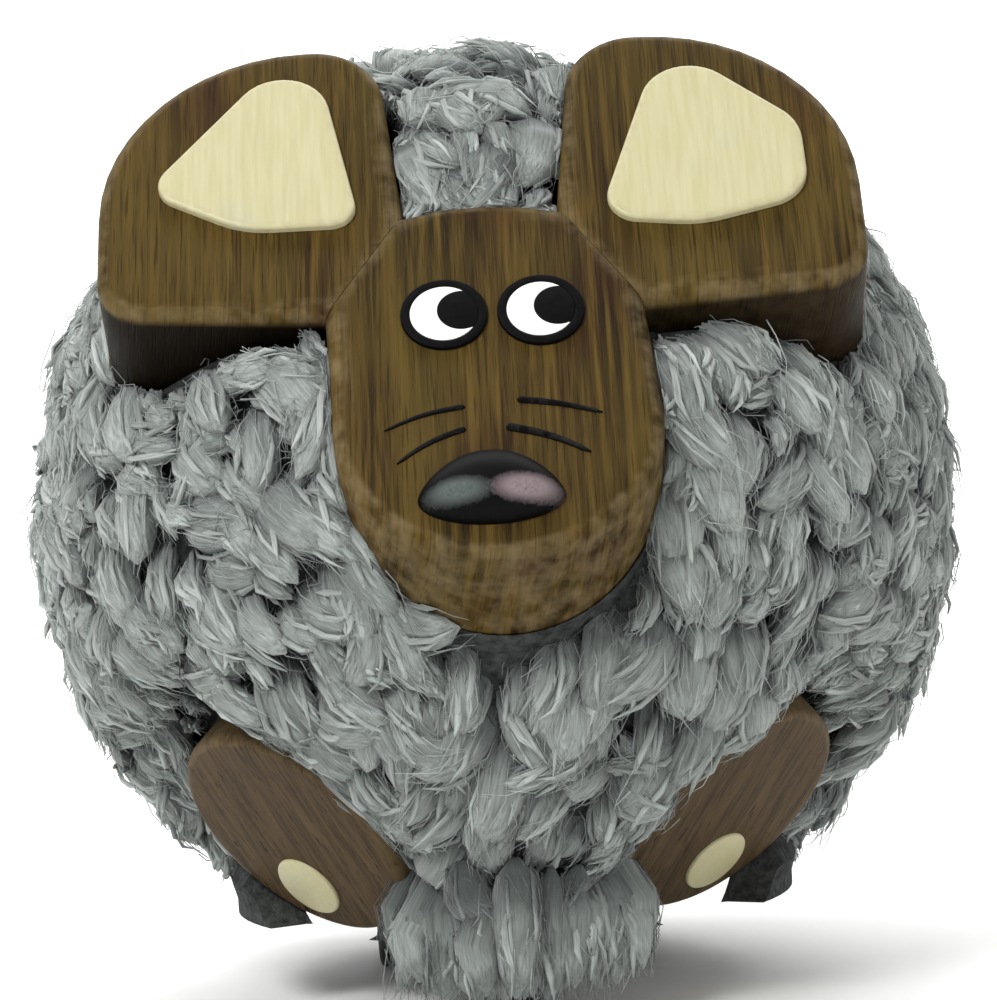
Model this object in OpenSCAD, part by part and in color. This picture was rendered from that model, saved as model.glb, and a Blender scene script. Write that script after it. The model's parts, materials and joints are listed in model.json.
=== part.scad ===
// Clockwork mouse: a round woollen body on a moulded core, with a walnut head and walnut
// feet, that runs on two driven wheels and a steerable front roller.
// Millimetres. +Z is up, the mouse faces -Y, and the floor is z = 0.

/* [Body] */
// Radius of the ball of wool
wool_r = 55; // [52:1:66]
// Height of the ball's centre above the floor
ball_z = 56; // [54:1:68]
// Radius of the round top of the moulded core
core_r = 36; // [34:0.5:40]
// Radius of the core's straight skirt
skirt_r = 30; // [29:0.5:31]
// Height of the core's open lower rim above the floor
rim_z = 14; // [13:0.5:15]
// Wall of the moulded core
core_wall = 2; // [1.5:0.25:2.5]
// Height of the joint between the two core mouldings, above the floor
split_z = 61; // [60:1:64]
// Depth of the tongue that locates the upper moulding on the lower one
tongue_h = 3; // [2:0.5:4]

/* [Head] */
// Lean of the face back from upright, in degrees
face_lean = 39; // [34:1:44]
// Distance of the face from the ball's centre
face_reach = 48; // [46:0.5:52]
// Thickness of the walnut board that the head is sawn from
board_t = 18; // [16:0.5:20]
// Half width of the snout
snout_r = 17.5; // [16:0.5:19]
// How far the snout and the eyes sit to the right of the middle of the ears
snout_mid = 0.8; // [0:0.1:1.2]
// How far the chin lies below the ball's centre, along the face
chin_drop = 41; // [38:0.5:43]
// Half span across both ears
ear_span = 42; // [38:0.5:46]
// Height of the ear tips above the ball's centre, along the face
ear_top = 30.5; // [28:0.5:34]
// Thickness of the cream panel in each ear
panel_t = 0.9; // [0.5:0.1:1.5]
// Diameter of each eye's black rim
eye_d = 9.4; // [8:0.2:10]
// Distance between the centres of the eyes
eye_pitch = 10.4; // [10:0.1:12]
// Width of the nose
nose_w = 15.4; // [12:0.2:18]
// Height of the nose
nose_h = 9; // [7:0.2:11]
// How far the nose stands out of the face
nose_rise = 3.4; // [2:0.1:4]

/* [Feet] */
// Diameter of each foot, a slice of walnut rod
foot_d = 30; // [26:0.5:32]
// Thickness of each foot
foot_t = 6.5; // [6:0.5:7]
// Turn of each foot away from straight ahead, in degrees
foot_yaw = 45; // [42:1:50]
// Slope of the left sole below the horizontal, in degrees
left_droop = 36.5; // [33:0.5:40]
// Slope of the right sole below the horizontal, in degrees
right_droop = 40; // [36:0.5:42]
// Distance of the soles' planes from the ball's centre
foot_reach = 49.2; // [48.6:0.2:51]
// How far the left foot sits below its radial line, along the sole
left_drop = 7.1; // [6:0.2:9]
// How far the right foot sits below its radial line, along the sole
right_drop = 4.2; // [3:0.2:7]
// How far each foot sits towards the middle, along the sole
foot_inset = 0.3; // [0:0.1:1]
// Diameter of the cream dot on each sole
dot_d = 8.4; // [6:0.2:9]
// Turn of each dot outwards from the lowest point of its sole, in degrees
dot_turn = 20; // [0:1:30]

/* [Running gear] */
// Diameter of the driven wheels over their tyres
wheel_d = 20; // [18:0.5:21]
// Thickness of the rubber tyres
tyre_t = 2.8; // [2:0.2:3.4]
// Width of the driven wheels
wheel_w = 4.5; // [3.5:0.25:5]
// Distance from the middle of the mouse to the middle of each driven wheel
half_track = 14.5; // [14:0.25:15]
// How far behind the ball's centre the drive axle lies
axle_y = 9; // [8.5:0.25:10]
// Diameter of the drive axle
axle_d = 2.4; // [2:0.2:2.8]
// Diameter of the front roller
roller_d = 9; // [8:0.5:10]
// Width of the front roller
roller_w = 6.4; // [5:0.2:7]
// How far ahead of the ball's centre the steering stem stands
steer_y = 20; // [19.5:0.25:21]
// How far ahead of the steering stem the roller's axis lies
steer_lead = 2.5; // [1:0.25:3]

/* [Clockwork] */
// Gear module
gear_m = 0.7; // [0.65:0.01:0.72]
// Teeth on the great wheel
great_teeth = 40; // [38:2:40]
// Teeth on the second wheel
second_teeth = 30; // [28:2:30]
// Teeth on the crown wheel
crown_teeth = 20; // [20:1:20]
// Teeth on each pinion
pinion_teeth = 10; // [10:1:10]
// Thickness of each motor plate
plate_t = 1.2; // [1:0.1:1.5]
// Thickness of the tin chassis plate
chassis_t = 1.2; // [1:0.1:1.5]
// Thickness of the mainspring strip
spring_t = 0.5; // [0.3:0.05:0.6]
// Width of the mainspring strip
spring_w = 5.6; // [5:0.2:5.8]
// Turns of the mainspring at rest
spring_turns = 7; // [5:1:8]
// Diameter of the winding arbor
arbor_d = 3; // [2.6:0.1:3.2]
// Width across the wings of the key
key_w = 24; // [20:1:26]
// Distance of the key's end behind the ball's centre
key_reach = 64.5; // [63:0.5:66]
// Diameter of the hole in each wing of the key
key_hole_d = 4; // [3:0.5:5]

/* [Clearances] */
// Gap around the head and the feet where they sit in the wool
wool_gap = 0.3; // [0.2:0.1:1]
// Radial running clearance of shafts in their bearings
run_gap = 0.05; // [0.03:0.01:0.08]
// Gap beside parts that turn next to fixed ones
side_gap = 0.6; // [0.4:0.1:0.8]
// Gap between the wool and the turning key
key_gap = 1.5; // [1:0.5:3]
// Thinning of every gear tooth for backlash
backlash = 0.14; // [0.1:0.01:0.2]

/* [Hidden] */
$fn = 64;

eps = 0.01;
big = 200;

// Colours
walnut = [0.37, 0.28, 0.19];
cream = [0.88, 0.85, 0.67];
grey_wool = [0.66, 0.68, 0.66];
black = [0.05, 0.05, 0.05];
tinplate = [0.72, 0.73, 0.74];
brass = [0.78, 0.62, 0.3];
steel = [0.6, 0.61, 0.63];
grey_moulding = [0.35, 0.36, 0.38];
rubber = [0.08, 0.08, 0.08];
dowel_wood = [0.8, 0.66, 0.45];

// Screws and dowels
screw_r = 1;
screw_head_r = 1.8;
screw_head_h = 0.9;
hole_spare = 0.5;
dowel_r = 3;
dowel_in = 8;
head_screw_at = [[-8, -10], [8, -10]];
head_screw_l = 12;
ear_dowel_r = 2;
ear_dowel_l = 12;
nose_peg_r = 1.6;
nose_peg_l = 5;
foot_screw_b = -4;
foot_skin = 2.5;

// Core
skirt_in = skirt_r - core_wall;
core_in = core_r - core_wall;
seat_reach = face_reach - board_t;
foot_back = foot_reach - foot_t;
tongue_t = core_wall / 2 - 0.1;
boss_r = 2.5;
boss_h = 12;
boss_reach = skirt_in - screw_head_r - 0.2;
boss_at = [for (a = [8, 72, 108, 172]) polar(boss_reach, a)];
chassis_screw_l = boss_h - 3;
wool_low = 9.5;

// Gear train: arbors stand one above another over the drive axle
axle_z = wheel_d / 2;
pinion_pr = gear_m * pinion_teeth / 2;
great_pr = gear_m * great_teeth / 2;
second_pr = gear_m * second_teeth / 2;
crown_pr = gear_m * crown_teeth / 2;
wheel_add = 0.6 * gear_m;
pinion_add = 0.85 * gear_m;
tip_gap = 0.35 * gear_m;
third_z = axle_z;
second_z = third_z + second_pr + pinion_pr;
great_z = second_z + great_pr + pinion_pr;
window_ring = 0.56;
window_size = 0.24;

// Places along the arbors, from the crown wheel forwards
crown_pitch_y = axle_y - pinion_pr;
crown_rim_y = crown_pitch_y - pinion_add - tip_gap;
crown_disc_t = 1.4;
crown_face = 0.7;
crown_hub_r = 2.6;
back_plate_y = crown_rim_y - crown_disc_t - plate_t - 1.8;
great_t = 1.6;
ratchet_t = 1.6;
ratchet_lift = 0.3;
ratchet_y = back_plate_y - 0.8 - ratchet_t;
great_y = ratchet_y - ratchet_lift - great_t;
spring_y = great_y - 0.8 - spring_w;
second_t = 1.2;
second_y = spring_y - side_gap - second_t;
front_plate_y = second_y - 0.5 - plate_t;
pinion_l = 2.6;

// Motor frame
arbor_r = arbor_d / 2;
bush_r = arbor_r + 1.1;
train_arbor_r = 1;
arbor_end = 0.5;
pillar_r = 1.5;
pillar_neck_r = 1;
motor_half_w = great_pr + pillar_r;
upper_pillar = [motor_half_w - 3, great_z + great_pr - 0.5];
lower_pillar = [second_pr + 2.7, second_z - 2];
motor_corner = 2.5;
tongue_half_w = 6.5;
tongue_low_z = third_z - 4;
tab_w = 3;
tab_l = 4.6;
front_tab_x = 5.6;
back_tab_x = 9.8;
tab_screw_r = 0.8;
tab_screw_in = 2.6;
tab_screw_y = [front_plate_y - tab_screw_in, back_plate_y + plate_t + tab_screw_in];
tab_screw_at = [for (side = [-1, 1]) each [
    [side * front_tab_x, tab_screw_y[0]], [side * back_tab_x, tab_screw_y[1]]]];

// Mainspring
spring_in = 3.2;
spring_out = great_pr - 1.4;
spring_steps = 14;
spring_eye_turn = 62;
spiral_n = spring_turns * spring_steps;
spiral_end = atan2(great_z - upper_pillar[1], -upper_pillar[0]) + spring_eye_turn;

// Chassis
chassis_top = rim_z + chassis_t;
chassis_gap = 0.1;
axle_r = axle_d / 2;
hub_r = wheel_d / 2 - tyre_t;
hub_neck_r = axle_r + 1;
axle_half = half_track + wheel_w / 2 + 0.8;
lug_x = 9.4;
lug_t = 1.2;
lug_half = 3;
bay_half_w = lug_x - 0.5;
bay_back = axle_y + pinion_pr + pinion_add + side_gap;
bay_front = front_plate_y - 1.2;
slot_gap = 1;
wheel_gap = 0.3;

// Running gear
tyre_edge = 0.6;
axle_pinion_l = 3;
fork_leg_t = 1;
fork_leg_half = 2.6;
fork_half_w = roller_w / 2 + 0.4 + fork_leg_t;
stem_r = 1.5;
steer_boss_r = 3.2;
steer_boss_h = 2.6;
steer_washer_t = 0.8;
roller_z = roller_d / 2;
roller_y = -steer_y - steer_lead;
pin_r = 0.8;
fork_top = rim_z - side_gap - 1.4;

// Ratchet and click
ratchet_n = 12;
ratchet_r = 5.4;
ratchet_root = 4.4;
click_gap = 0.15;
click_pivot = [7.2, 8.2];
click_nose = [5.7, click_gap];
click_spring_peg = [11, -2.6];

// Winding key
key_tube_r = arbor_r + 1.6;
key_tube_y = sqrt(pow(core_in, 2) - pow(great_z - ball_z, 2)) - 2.5;
key_tube_wall = 1;
key_flange = 2.6;
key_pocket_y = 45;
key_hub_r = 3.2;
key_hub_l = 6;
key_bow_t = 2;
key_hub_y = key_pocket_y + 2.5;
key_bow_y = key_hub_y + 4;
key_neck = 0.2;
key_wing_in = 3;
key_bore_l = 3.6;
wing_r = 5.2;

// Face details, measured along the face from where the line from the ball's centre meets it
crown_b = 6.4;
ear_foot = [8.4, 5.2];
ear_heel = [17.2, -8.6];
eye_b = -9.5;
eye_t = 0.5;
eye_white_r = 0.39 * eye_d;
pupil_r = 0.28 * eye_d;
pupil_shift = [1.9, 0.35];
nose_at = [-0.3, -33];
chin_b = snout_r - chin_drop;
dot_out = 8.4;
dot_t = 0.4;

// A point at a radius and an angle
function polar(r, a) = [r * cos(a), r * sin(a)];

// Points round an arc
function arc(c, r, a0, a1, n) = [for (i = [0:n]) c + polar(r, a0 + (a1 - a0) * i / n)];

// The corner between three points, rounded to a radius
function unit(v) = v / norm(v);
function corner(a, b, c, r, n = 12) =
    let (u = unit(a - b), w = unit(c - b),
         half = acos(u * w) / 2,
         mid = b + unit(u + w) * r / sin(half),
         p = b + u * r / tan(half) - mid,
         q = b + w * r / tan(half) - mid,
         a0 = atan2(p[1], p[0]),
         turn = atan2(q[1], q[0]) - a0,
         a1 = a0 + (turn > 180 ? turn - 360 : turn < -180 ? turn + 360 : turn))
    arc(mid, r, a0, a1, n);

// An outline of [x, y, radius] corners with every corner rounded
function rounded(c) = let (n = len(c))
    [for (i = [0:n - 1])
        let (a = c[(i + n - 1) % n], b = c[i], d = c[(i + 1) % n])
        each b[2] > 0
            ? corner([a[0], a[1]], [b[0], b[1]], [d[0], d[1]], b[2])
            : [[b[0], b[1]]]];

// An anticlockwise outline moved outwards by d
function grown(p, d) = let (n = len(p))
    [for (i = [0:n - 1])
        let (u = unit(p[i] - p[(i + n - 1) % n]), w = unit(p[(i + 1) % n] - p[i]),
             m = unit([u[1] + w[1], -u[0] - w[0]]))
        p[i] + m * d / max(0.5, m * [w[1], -w[0]])];

function mirrored(p) = [for (i = [len(p) - 1:-1:0]) [-p[i][0], p[i][1]]];

// Outlines on the face, for the right ear and its panel
ear_outline = rounded([
    [ear_foot[0], ear_foot[1], 0],
    [ear_heel[0], ear_heel[1], 0],
    [ear_span, -6.6, 5.5],
    [ear_span, ear_top, 23],
    [10.9, ear_top, 8]
]);
right_panel = rounded([[12.9, 2.8, 3.5], [24, 1.3, 14], [36.2, 4.5, 5], [36, 15.2, 6], [21.4, 28.4, 5.5]]);
left_panel = mirrored(rounded([[13, 3.4, 2.8], [26, 3.4, 12], [36.8, 9.6, 3], [18.4, 32.3, 5.4]]));
head_top = [
    [ear_heel[0], ear_heel[1]], [ear_foot[0], ear_foot[1]],
    [ear_foot[0] / 2, crown_b - 0.3], [0, crown_b], [-ear_foot[0] / 2, crown_b - 0.3],
    [-ear_foot[0], ear_foot[1]], [-ear_heel[0], ear_heel[1]],
    [snout_mid - snout_r, chin_b], [snout_mid + snout_r, chin_b]
];

// Frames that the parts are placed in
module at_face(reach) {
    translate([0, 0, ball_z]) rotate([90 - face_lean, 0, 0]) translate([0, 0, reach]) children();
}

module at_foot(side, reach) {
    droop = side < 0 ? left_droop : right_droop;
    drop = side < 0 ? left_drop : right_drop;
    translate([0, 0, ball_z]) rotate([0, 0, side * foot_yaw]) rotate([90 + droop, 0, 0])
        translate([-side * foot_inset, -drop, reach]) children();
}

module at_arbor(y, z) {
    translate([0, y, z]) rotate([-90, 0, 0]) children();
}

module along_x(x, y, z) {
    translate([x, y, z]) rotate([0, 90, 0]) children();
}

module both_sides() {
    for (side = [-1, 1]) scale([side, 1, 1]) children();
}

module ring(r_out, r_in, h) {
    difference() {
        cylinder(r = r_out, h = h);
        translate([0, 0, -eps]) cylinder(r = r_in, h = h + 2 * eps);
    }
}

// Gears
function involute_angle(rb, r) = let (k = max(1, r / rb)) sqrt(k * k - 1) * 180 / PI - acos(1 / k);

function tooth_half_angle(n, r) =
    let (pr = gear_m * n / 2, rb = pr * cos(20))
    90 / n - backlash / 2 / pr * 180 / PI + involute_angle(rb, pr) - involute_angle(rb, r);

module gear_outline(n, add, ded, phase = 0) {
    pr = gear_m * n / 2;
    radii = [pr - ded, max(pr - ded + eps, pr * cos(20)), pr, pr + add / 2, pr + add];
    polygon([for (k = [0:n - 1])
        each concat(
            [for (i = [0:4]) polar(radii[i], phase + k * 360 / n - tooth_half_angle(n, radii[i]))],
            [for (i = [4:-1:0]) polar(radii[i], phase + k * 360 / n + tooth_half_angle(n, radii[i]))]
        )]);
}

module wheel_blank(n, t, bore_r, phase, windows) {
    pr = gear_m * n / 2;
    difference() {
        linear_extrude(height = t) gear_outline(n, wheel_add, pinion_add + tip_gap, phase);
        translate([0, 0, -eps]) cylinder(r = bore_r, h = t + 2 * eps);
        for (a = windows) rotate([0, 0, a]) translate([pr * window_ring, 0, -eps])
            cylinder(r = pr * window_size, h = t + 2 * eps);
    }
}

module pinion(l, bore_r) {
    difference() {
        linear_extrude(height = l) gear_outline(pinion_teeth, pinion_add, wheel_add + tip_gap);
        translate([0, 0, -eps]) cylinder(r = bore_r, h = l + 2 * eps);
    }
}

// A screw along +Z with its head below z = 0
module screw(r, l, head_r, head_h) {
    difference() {
        union() {
            cylinder(r = r, h = l);
            translate([0, 0, -head_h]) cylinder(r = head_r, h = head_h);
        }
        translate([-head_r, -head_h * 0.25, -head_h - eps]) cube([2 * head_r, head_h * 0.5, head_h * 0.5]);
    }
}

// Core mouldings
module core_form(inset) {
    difference() {
        union() {
            translate([0, 0, rim_z - eps]) cylinder(r = skirt_r - inset, h = ball_z - rim_z);
            difference() {
                translate([0, 0, ball_z]) sphere(r = core_r - inset);
                translate([-big / 2, -big / 2, rim_z - big]) cube(big);
            }
        }
        at_face(seat_reach - inset) translate([-big / 2, -big / 2, 0]) cube(big);
        for (side = [-1, 1])
            at_foot(side, foot_back - inset) translate([-big / 2, -big / 2, 0]) cube(big);
    }
}

module core_wall_form(inset_out, inset_in, z0, z1) {
    intersection() {
        difference() {
            core_form(inset_out);
            core_form(inset_in);
        }
        translate([-big / 2, -big / 2, z0]) cube([big, big, z1 - z0]);
    }
}

module core_holes() {
    at_arbor(0, great_z) cylinder(r = key_tube_r, h = big);
    at_face(seat_reach - core_wall - 1) {
        cylinder(r = dowel_r, h = core_wall + 2);
        for (p = head_screw_at) translate(p) cylinder(r = screw_r + run_gap, h = core_wall + 2);
    }
    for (side = [-1, 1])
        at_foot(side, foot_back - core_wall - 1) translate([0, foot_screw_b, 0])
            cylinder(r = screw_r + run_gap, h = core_wall + 2);
}

module lower_shell() color(grey_moulding) {
    difference() {
        union() {
            core_wall_form(0, core_wall, rim_z, split_z);
            core_wall_form(core_wall - tongue_t, core_wall, split_z - 1, split_z + tongue_h);
        }
        core_holes();
    }
    intersection() {
        core_form(core_wall / 2);
        difference() {
            for (p = boss_at) translate([p[0], p[1], chassis_top]) cylinder(r = boss_r, h = boss_h);
            for (p = boss_at) translate([p[0], p[1], chassis_top - 1])
                cylinder(r = screw_r + run_gap, h = boss_h);
        }
    }
}

module upper_shell() color(grey_moulding)
    difference() {
        core_wall_form(0, core_wall, split_z, ball_z + core_r + 1);
        core_wall_form(core_wall - tongue_t - run_gap, core_wall + 1,
                       split_z - 1, split_z + tongue_h + run_gap);
        core_holes();
    }

module chassis_plate() color(tinplate)
    difference() {
        union() {
            intersection() {
                core_form(core_wall + chassis_gap);
                translate([-big / 2, -big / 2, rim_z]) cube([big, big, chassis_t]);
            }
            for (side = [-1, 1])
                translate([side * (lug_x + lug_t / 2) - lug_t / 2, axle_y - lug_half, axle_z - lug_half])
                    cube([lug_t, 2 * lug_half, rim_z - axle_z + lug_half + eps]);
            translate([0, -steer_y, rim_z]) cylinder(r = steer_boss_r, h = steer_boss_h);
        }
        translate([-bay_half_w, bay_front, rim_z - eps])
            cube([2 * bay_half_w, bay_back - bay_front, chassis_t + 2 * eps]);
        both_sides() {
            translate([half_track - wheel_w / 2 - slot_gap, axle_y - wheel_d / 2 - slot_gap, rim_z - eps])
                cube([wheel_w + 2 * slot_gap, wheel_d + 2 * slot_gap, chassis_t + 2 * eps]);
            along_x(lug_x + lug_t, axle_y, axle_z)
                cylinder(r = hub_neck_r + wheel_gap, h = half_track - lug_x - lug_t);
        }
        translate([0, -steer_y, rim_z - 1]) cylinder(r = stem_r + run_gap, h = steer_boss_h + 2);
        along_x(-big / 2, axle_y, axle_z) cylinder(r = axle_r + run_gap, h = big);
        for (p = boss_at) translate([p[0], p[1], rim_z - 1])
            cylinder(r = screw_r + run_gap, h = chassis_t + 2);
        for (p = tab_screw_at) translate([p[0], p[1], rim_z - 1])
            cylinder(r = tab_screw_r + run_gap, h = chassis_t + 2);
    }

module chassis_screws() color(steel)
    for (p = boss_at) translate([p[0], p[1], rim_z])
        screw(screw_r, chassis_screw_l, screw_head_r, screw_head_h);

// Wool
module wool_coat() color(grey_wool)
    difference() {
        translate([0, 0, ball_z]) sphere(r = wool_r);
        core_form(0);
        translate([0, 0, -eps]) cylinder(r = skirt_in, h = rim_z + 2 * eps);
        translate([-big / 2, -big / 2, wool_low - big]) cube(big);
        at_face(seat_reach - eps) linear_extrude(height = big) head_and_ears(wool_gap);
        for (side = [-1, 1])
            at_foot(side, foot_back - eps) cylinder(r = foot_d / 2 + wool_gap, h = foot_t + big / 4);
        at_arbor(core_r - 12, great_z) cylinder(r = key_tube_r, h = big);
        at_arbor(key_pocket_y, great_z) cylinder(r = key_w / 2 + key_gap, h = big);
    }

module head_and_ears(d) {
    polygon(grown(ear_outline, d));
    polygon(grown(mirrored(ear_outline), d));
    head_outline(d);
}

module head_outline(d) {
    polygon(grown(head_top, d));
    translate([snout_mid, chin_b]) circle(r = snout_r + d);
}

// Head
module head_block() color(walnut)
    difference() {
        at_face(seat_reach) linear_extrude(height = board_t) head_outline(0);
        at_face(seat_reach - 1) {
            cylinder(r = dowel_r, h = dowel_in + 1);
            for (p = head_screw_at) translate(p)
                cylinder(r = screw_r + run_gap, h = head_screw_l - core_wall + hole_spare + 1);
        }
        ear_dowel_set(0);
        at_face(face_reach - nose_peg_l) translate(nose_at) cylinder(r = nose_peg_r, h = nose_peg_l + 1);
    }

module ear_dowel_set(d) {
    mid = (ear_foot + ear_heel) / 2;
    run = ear_heel - ear_foot;
    a = atan2(run[1], run[0]) + 90;
    for (side = [-1, 1])
        at_face(face_reach - board_t / 2) scale([side, 1, 1]) translate([mid[0], mid[1], 0])
            rotate([0, 0, a]) rotate([0, 90, 0]) translate([0, 0, -ear_dowel_l / 2 - d])
                cylinder(r = ear_dowel_r + d, h = ear_dowel_l + 2 * d);
}

module ear_dowels() color(dowel_wood) ear_dowel_set(0);

module ear(outline) {
    difference() {
        at_face(seat_reach) linear_extrude(height = board_t) polygon(outline);
        ear_dowel_set(0);
    }
}

module left_ear() color(walnut) ear(mirrored(ear_outline));

module right_ear() color(walnut) ear(ear_outline);

module ear_panel(outline) {
    at_face(face_reach) linear_extrude(height = panel_t) polygon(outline);
}

module left_ear_panel() color(cream) ear_panel(left_panel);

module right_ear_panel() color(cream) ear_panel(right_panel);

module at_eyes(z) {
    for (side = [-1, 1])
        at_face(face_reach + z) translate([snout_mid + side * eye_pitch / 2, eye_b, 0]) children();
}

module eye_rims() color(black) at_eyes(0) ring(eye_d / 2, eye_white_r, eye_t);

module eye_whites() color("white")
    difference() {
        at_eyes(0) cylinder(r = eye_white_r, h = eye_t);
        at_eyes(-1) translate(pupil_shift) cylinder(r = pupil_r, h = eye_t + 2);
    }

module pupils() color(black)
    intersection() {
        at_eyes(0) translate(pupil_shift) cylinder(r = pupil_r, h = eye_t);
        at_eyes(0) cylinder(r = eye_white_r, h = eye_t);
    }

module nose() color(black) {
    at_face(face_reach) translate(nose_at)
        intersection() {
            scale([nose_w / 2, nose_h / 2, nose_rise]) sphere(r = 1, $fn = 28);
            translate([-big / 2, -big / 2, 0]) cube(big);
        }
    at_face(face_reach - nose_peg_l) translate(nose_at) cylinder(r = nose_peg_r, h = nose_peg_l);
}

module head_dowel() color(dowel_wood)
    at_face(seat_reach - core_wall - 2) cylinder(r = dowel_r, h = core_wall + 2 + dowel_in);

module head_screws() color(steel)
    at_face(seat_reach - core_wall) for (p = head_screw_at) translate(p)
        screw(screw_r, head_screw_l, screw_head_r, screw_head_h);

// Feet
module foot(side) {
    difference() {
        at_foot(side, foot_back) cylinder(r = foot_d / 2, h = foot_t);
        at_foot(side, foot_back - 1) translate([0, foot_screw_b, 0])
            cylinder(r = screw_r + run_gap, h = foot_t - foot_skin + hole_spare + 1);
    }
}

module left_foot() color(walnut) foot(-1);

module right_foot() color(walnut) foot(1);

module foot_dots() color(cream)
    for (side = [-1, 1]) at_foot(side, foot_reach) rotate([0, 0, side * dot_turn])
        translate([0, -dot_out, 0]) cylinder(r = dot_d / 2, h = dot_t);

module foot_screws() color(steel)
    for (side = [-1, 1]) at_foot(side, foot_back - core_wall) translate([0, foot_screw_b, 0])
        screw(screw_r, core_wall + foot_t - foot_skin, screw_head_r, screw_head_h);

// Clockwork
module motor_plate_outline() {
    polygon([
        [-motor_half_w, lower_pillar[1] - 3], [-tongue_half_w, lower_pillar[1] - 3],
        [-tongue_half_w, tongue_low_z], [tongue_half_w, tongue_low_z],
        [tongue_half_w, lower_pillar[1] - 3], [motor_half_w, lower_pillar[1] - 3],
        [motor_half_w, upper_pillar[1]], [motor_half_w - motor_corner, upper_pillar[1] + motor_corner],
        [-motor_half_w + motor_corner, upper_pillar[1] + motor_corner], [-motor_half_w, upper_pillar[1]]
    ]);
}

module pillar_places() {
    for (side = [-1, 1], p = [upper_pillar, lower_pillar]) translate([side * p[0], 0, p[1]]) children();
}

module motor_plate(y, tab_x, tab_y, screw_y) {
    difference() {
        union() {
            translate([0, y + plate_t, 0]) rotate([90, 0, 0])
                linear_extrude(height = plate_t) motor_plate_outline();
            for (side = [-1, 1]) translate([side * tab_x - tab_w / 2, 0, 0]) {
                translate([0, y, chassis_top]) cube([tab_w, plate_t, lower_pillar[1] - chassis_top]);
                translate([0, tab_y, chassis_top]) cube([tab_w, tab_l, plate_t]);
            }
        }
        at_arbor(y - 1, great_z) cylinder(r = bush_r, h = plate_t + 2);
        for (z = [second_z, third_z]) at_arbor(y - 1, z)
            cylinder(r = train_arbor_r + run_gap, h = plate_t + 2);
        pillar_places() at_arbor(y - 1, 0) cylinder(r = pillar_neck_r, h = plate_t + 2);
        for (side = [-1, 1]) translate([side * tab_x, screw_y, 0])
            cylinder(r = tab_screw_r + run_gap, h = 2 * chassis_top);
        both_sides() along_x(half_track - wheel_w / 2 - wheel_gap, axle_y, axle_z)
            cylinder(r = wheel_d / 2 + wheel_gap, h = wheel_w + 2 * wheel_gap);
    }
}

module motor_front_plate() color(steel)
    motor_plate(front_plate_y, front_tab_x, front_plate_y - tab_l, tab_screw_y[0]);

module motor_back_plate() color(steel)
    motor_plate(back_plate_y, back_tab_x, back_plate_y + plate_t, tab_screw_y[1]);

module motor_pillars() color(brass)
    pillar_places() {
        l = back_plate_y - front_plate_y - plate_t;
        at_arbor(front_plate_y + plate_t, 0) cylinder(r = pillar_r, h = l);
        at_arbor(front_plate_y - 0.3, 0) cylinder(r = pillar_neck_r, h = l + 2 * plate_t + 0.6);
    }

module motor_screws() color(steel)
    for (p = tab_screw_at)
        translate([p[0], p[1], chassis_top + plate_t]) rotate([180, 0, 0])
            screw(tab_screw_r, plate_t + chassis_t + 0.8, tab_screw_r + 0.7, 0.7);

module arbor_bushes() color(brass)
    for (y = [front_plate_y, back_plate_y]) at_arbor(y, great_z) ring(bush_r, arbor_r + run_gap, plate_t);

// Mainspring, a flat spiral from the arbor's hub out to the upper left pillar
function spiral_r(i) = spring_in + (spring_out - spring_in) * i / spiral_n;
function spiral_a(i) = spiral_end - 360 * (spiral_n - i) / spring_steps;
function spiral(d) = [for (i = [0:spiral_n]) polar(spiral_r(i) + d, spiral_a(i))];

module mainspring() color([0.36, 0.42, 0.52]) {
    eye = [-upper_pillar[0], great_z - upper_pillar[1]];
    tail = polar(spring_out, spiral_end);
    side = unit([tail[1] - eye[1], eye[0] - tail[0]]) * spring_t / 2;
    at_arbor(spring_y, great_z) linear_extrude(height = spring_w)
        difference() {
            union() {
                polygon(concat(spiral(spring_t / 2), [for (i = [spiral_n:-1:0]) spiral(-spring_t / 2)[i]]));
                polygon([tail + side, eye + side, eye - side, tail - side]);
                translate(eye) circle(r = pillar_r + run_gap + spring_t);
            }
            translate(eye) circle(r = pillar_r + run_gap);
        }
    at_arbor(spring_y, great_z) linear_extrude(height = spring_w)
        polygon([
            polar(spring_in - spring_t / 2, spiral_a(0) - 14), polar(arbor_r + 1.3, spiral_a(0) - 14),
            polar(arbor_r + 1.3, spiral_a(0)), polar(spring_in + spring_t / 2 - eps, spiral_a(0))
        ]);
}

module key_tube() color(brass)
    difference() {
        union() {
            at_arbor(key_tube_y, great_z) cylinder(r = key_tube_r, h = key_pocket_y - key_tube_y);
            at_arbor(key_pocket_y, great_z) cylinder(r = key_tube_r + key_flange, h = 0.8);
        }
        at_arbor(key_tube_y - 1, great_z) cylinder(r = key_tube_r - key_tube_wall, h = big);
    }

module great_wheel() color(brass)
    at_arbor(great_y, great_z) difference() {
        wheel_blank(great_teeth, great_t, arbor_r + run_gap, 0, [140, 190, 240, 290]);
        translate([click_pivot[0], click_pivot[1], -eps]) cylinder(r = pin_r, h = great_t + 2 * eps);
        translate([click_spring_peg[0], click_spring_peg[1], -eps])
            cylinder(r = pin_r, h = great_t + 2 * eps);
    }

module click_rivet() color(steel)
    at_arbor(great_y, great_z) translate(click_pivot)
        cylinder(r = pin_r, h = great_t + ratchet_lift + ratchet_t + 0.2);

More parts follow.
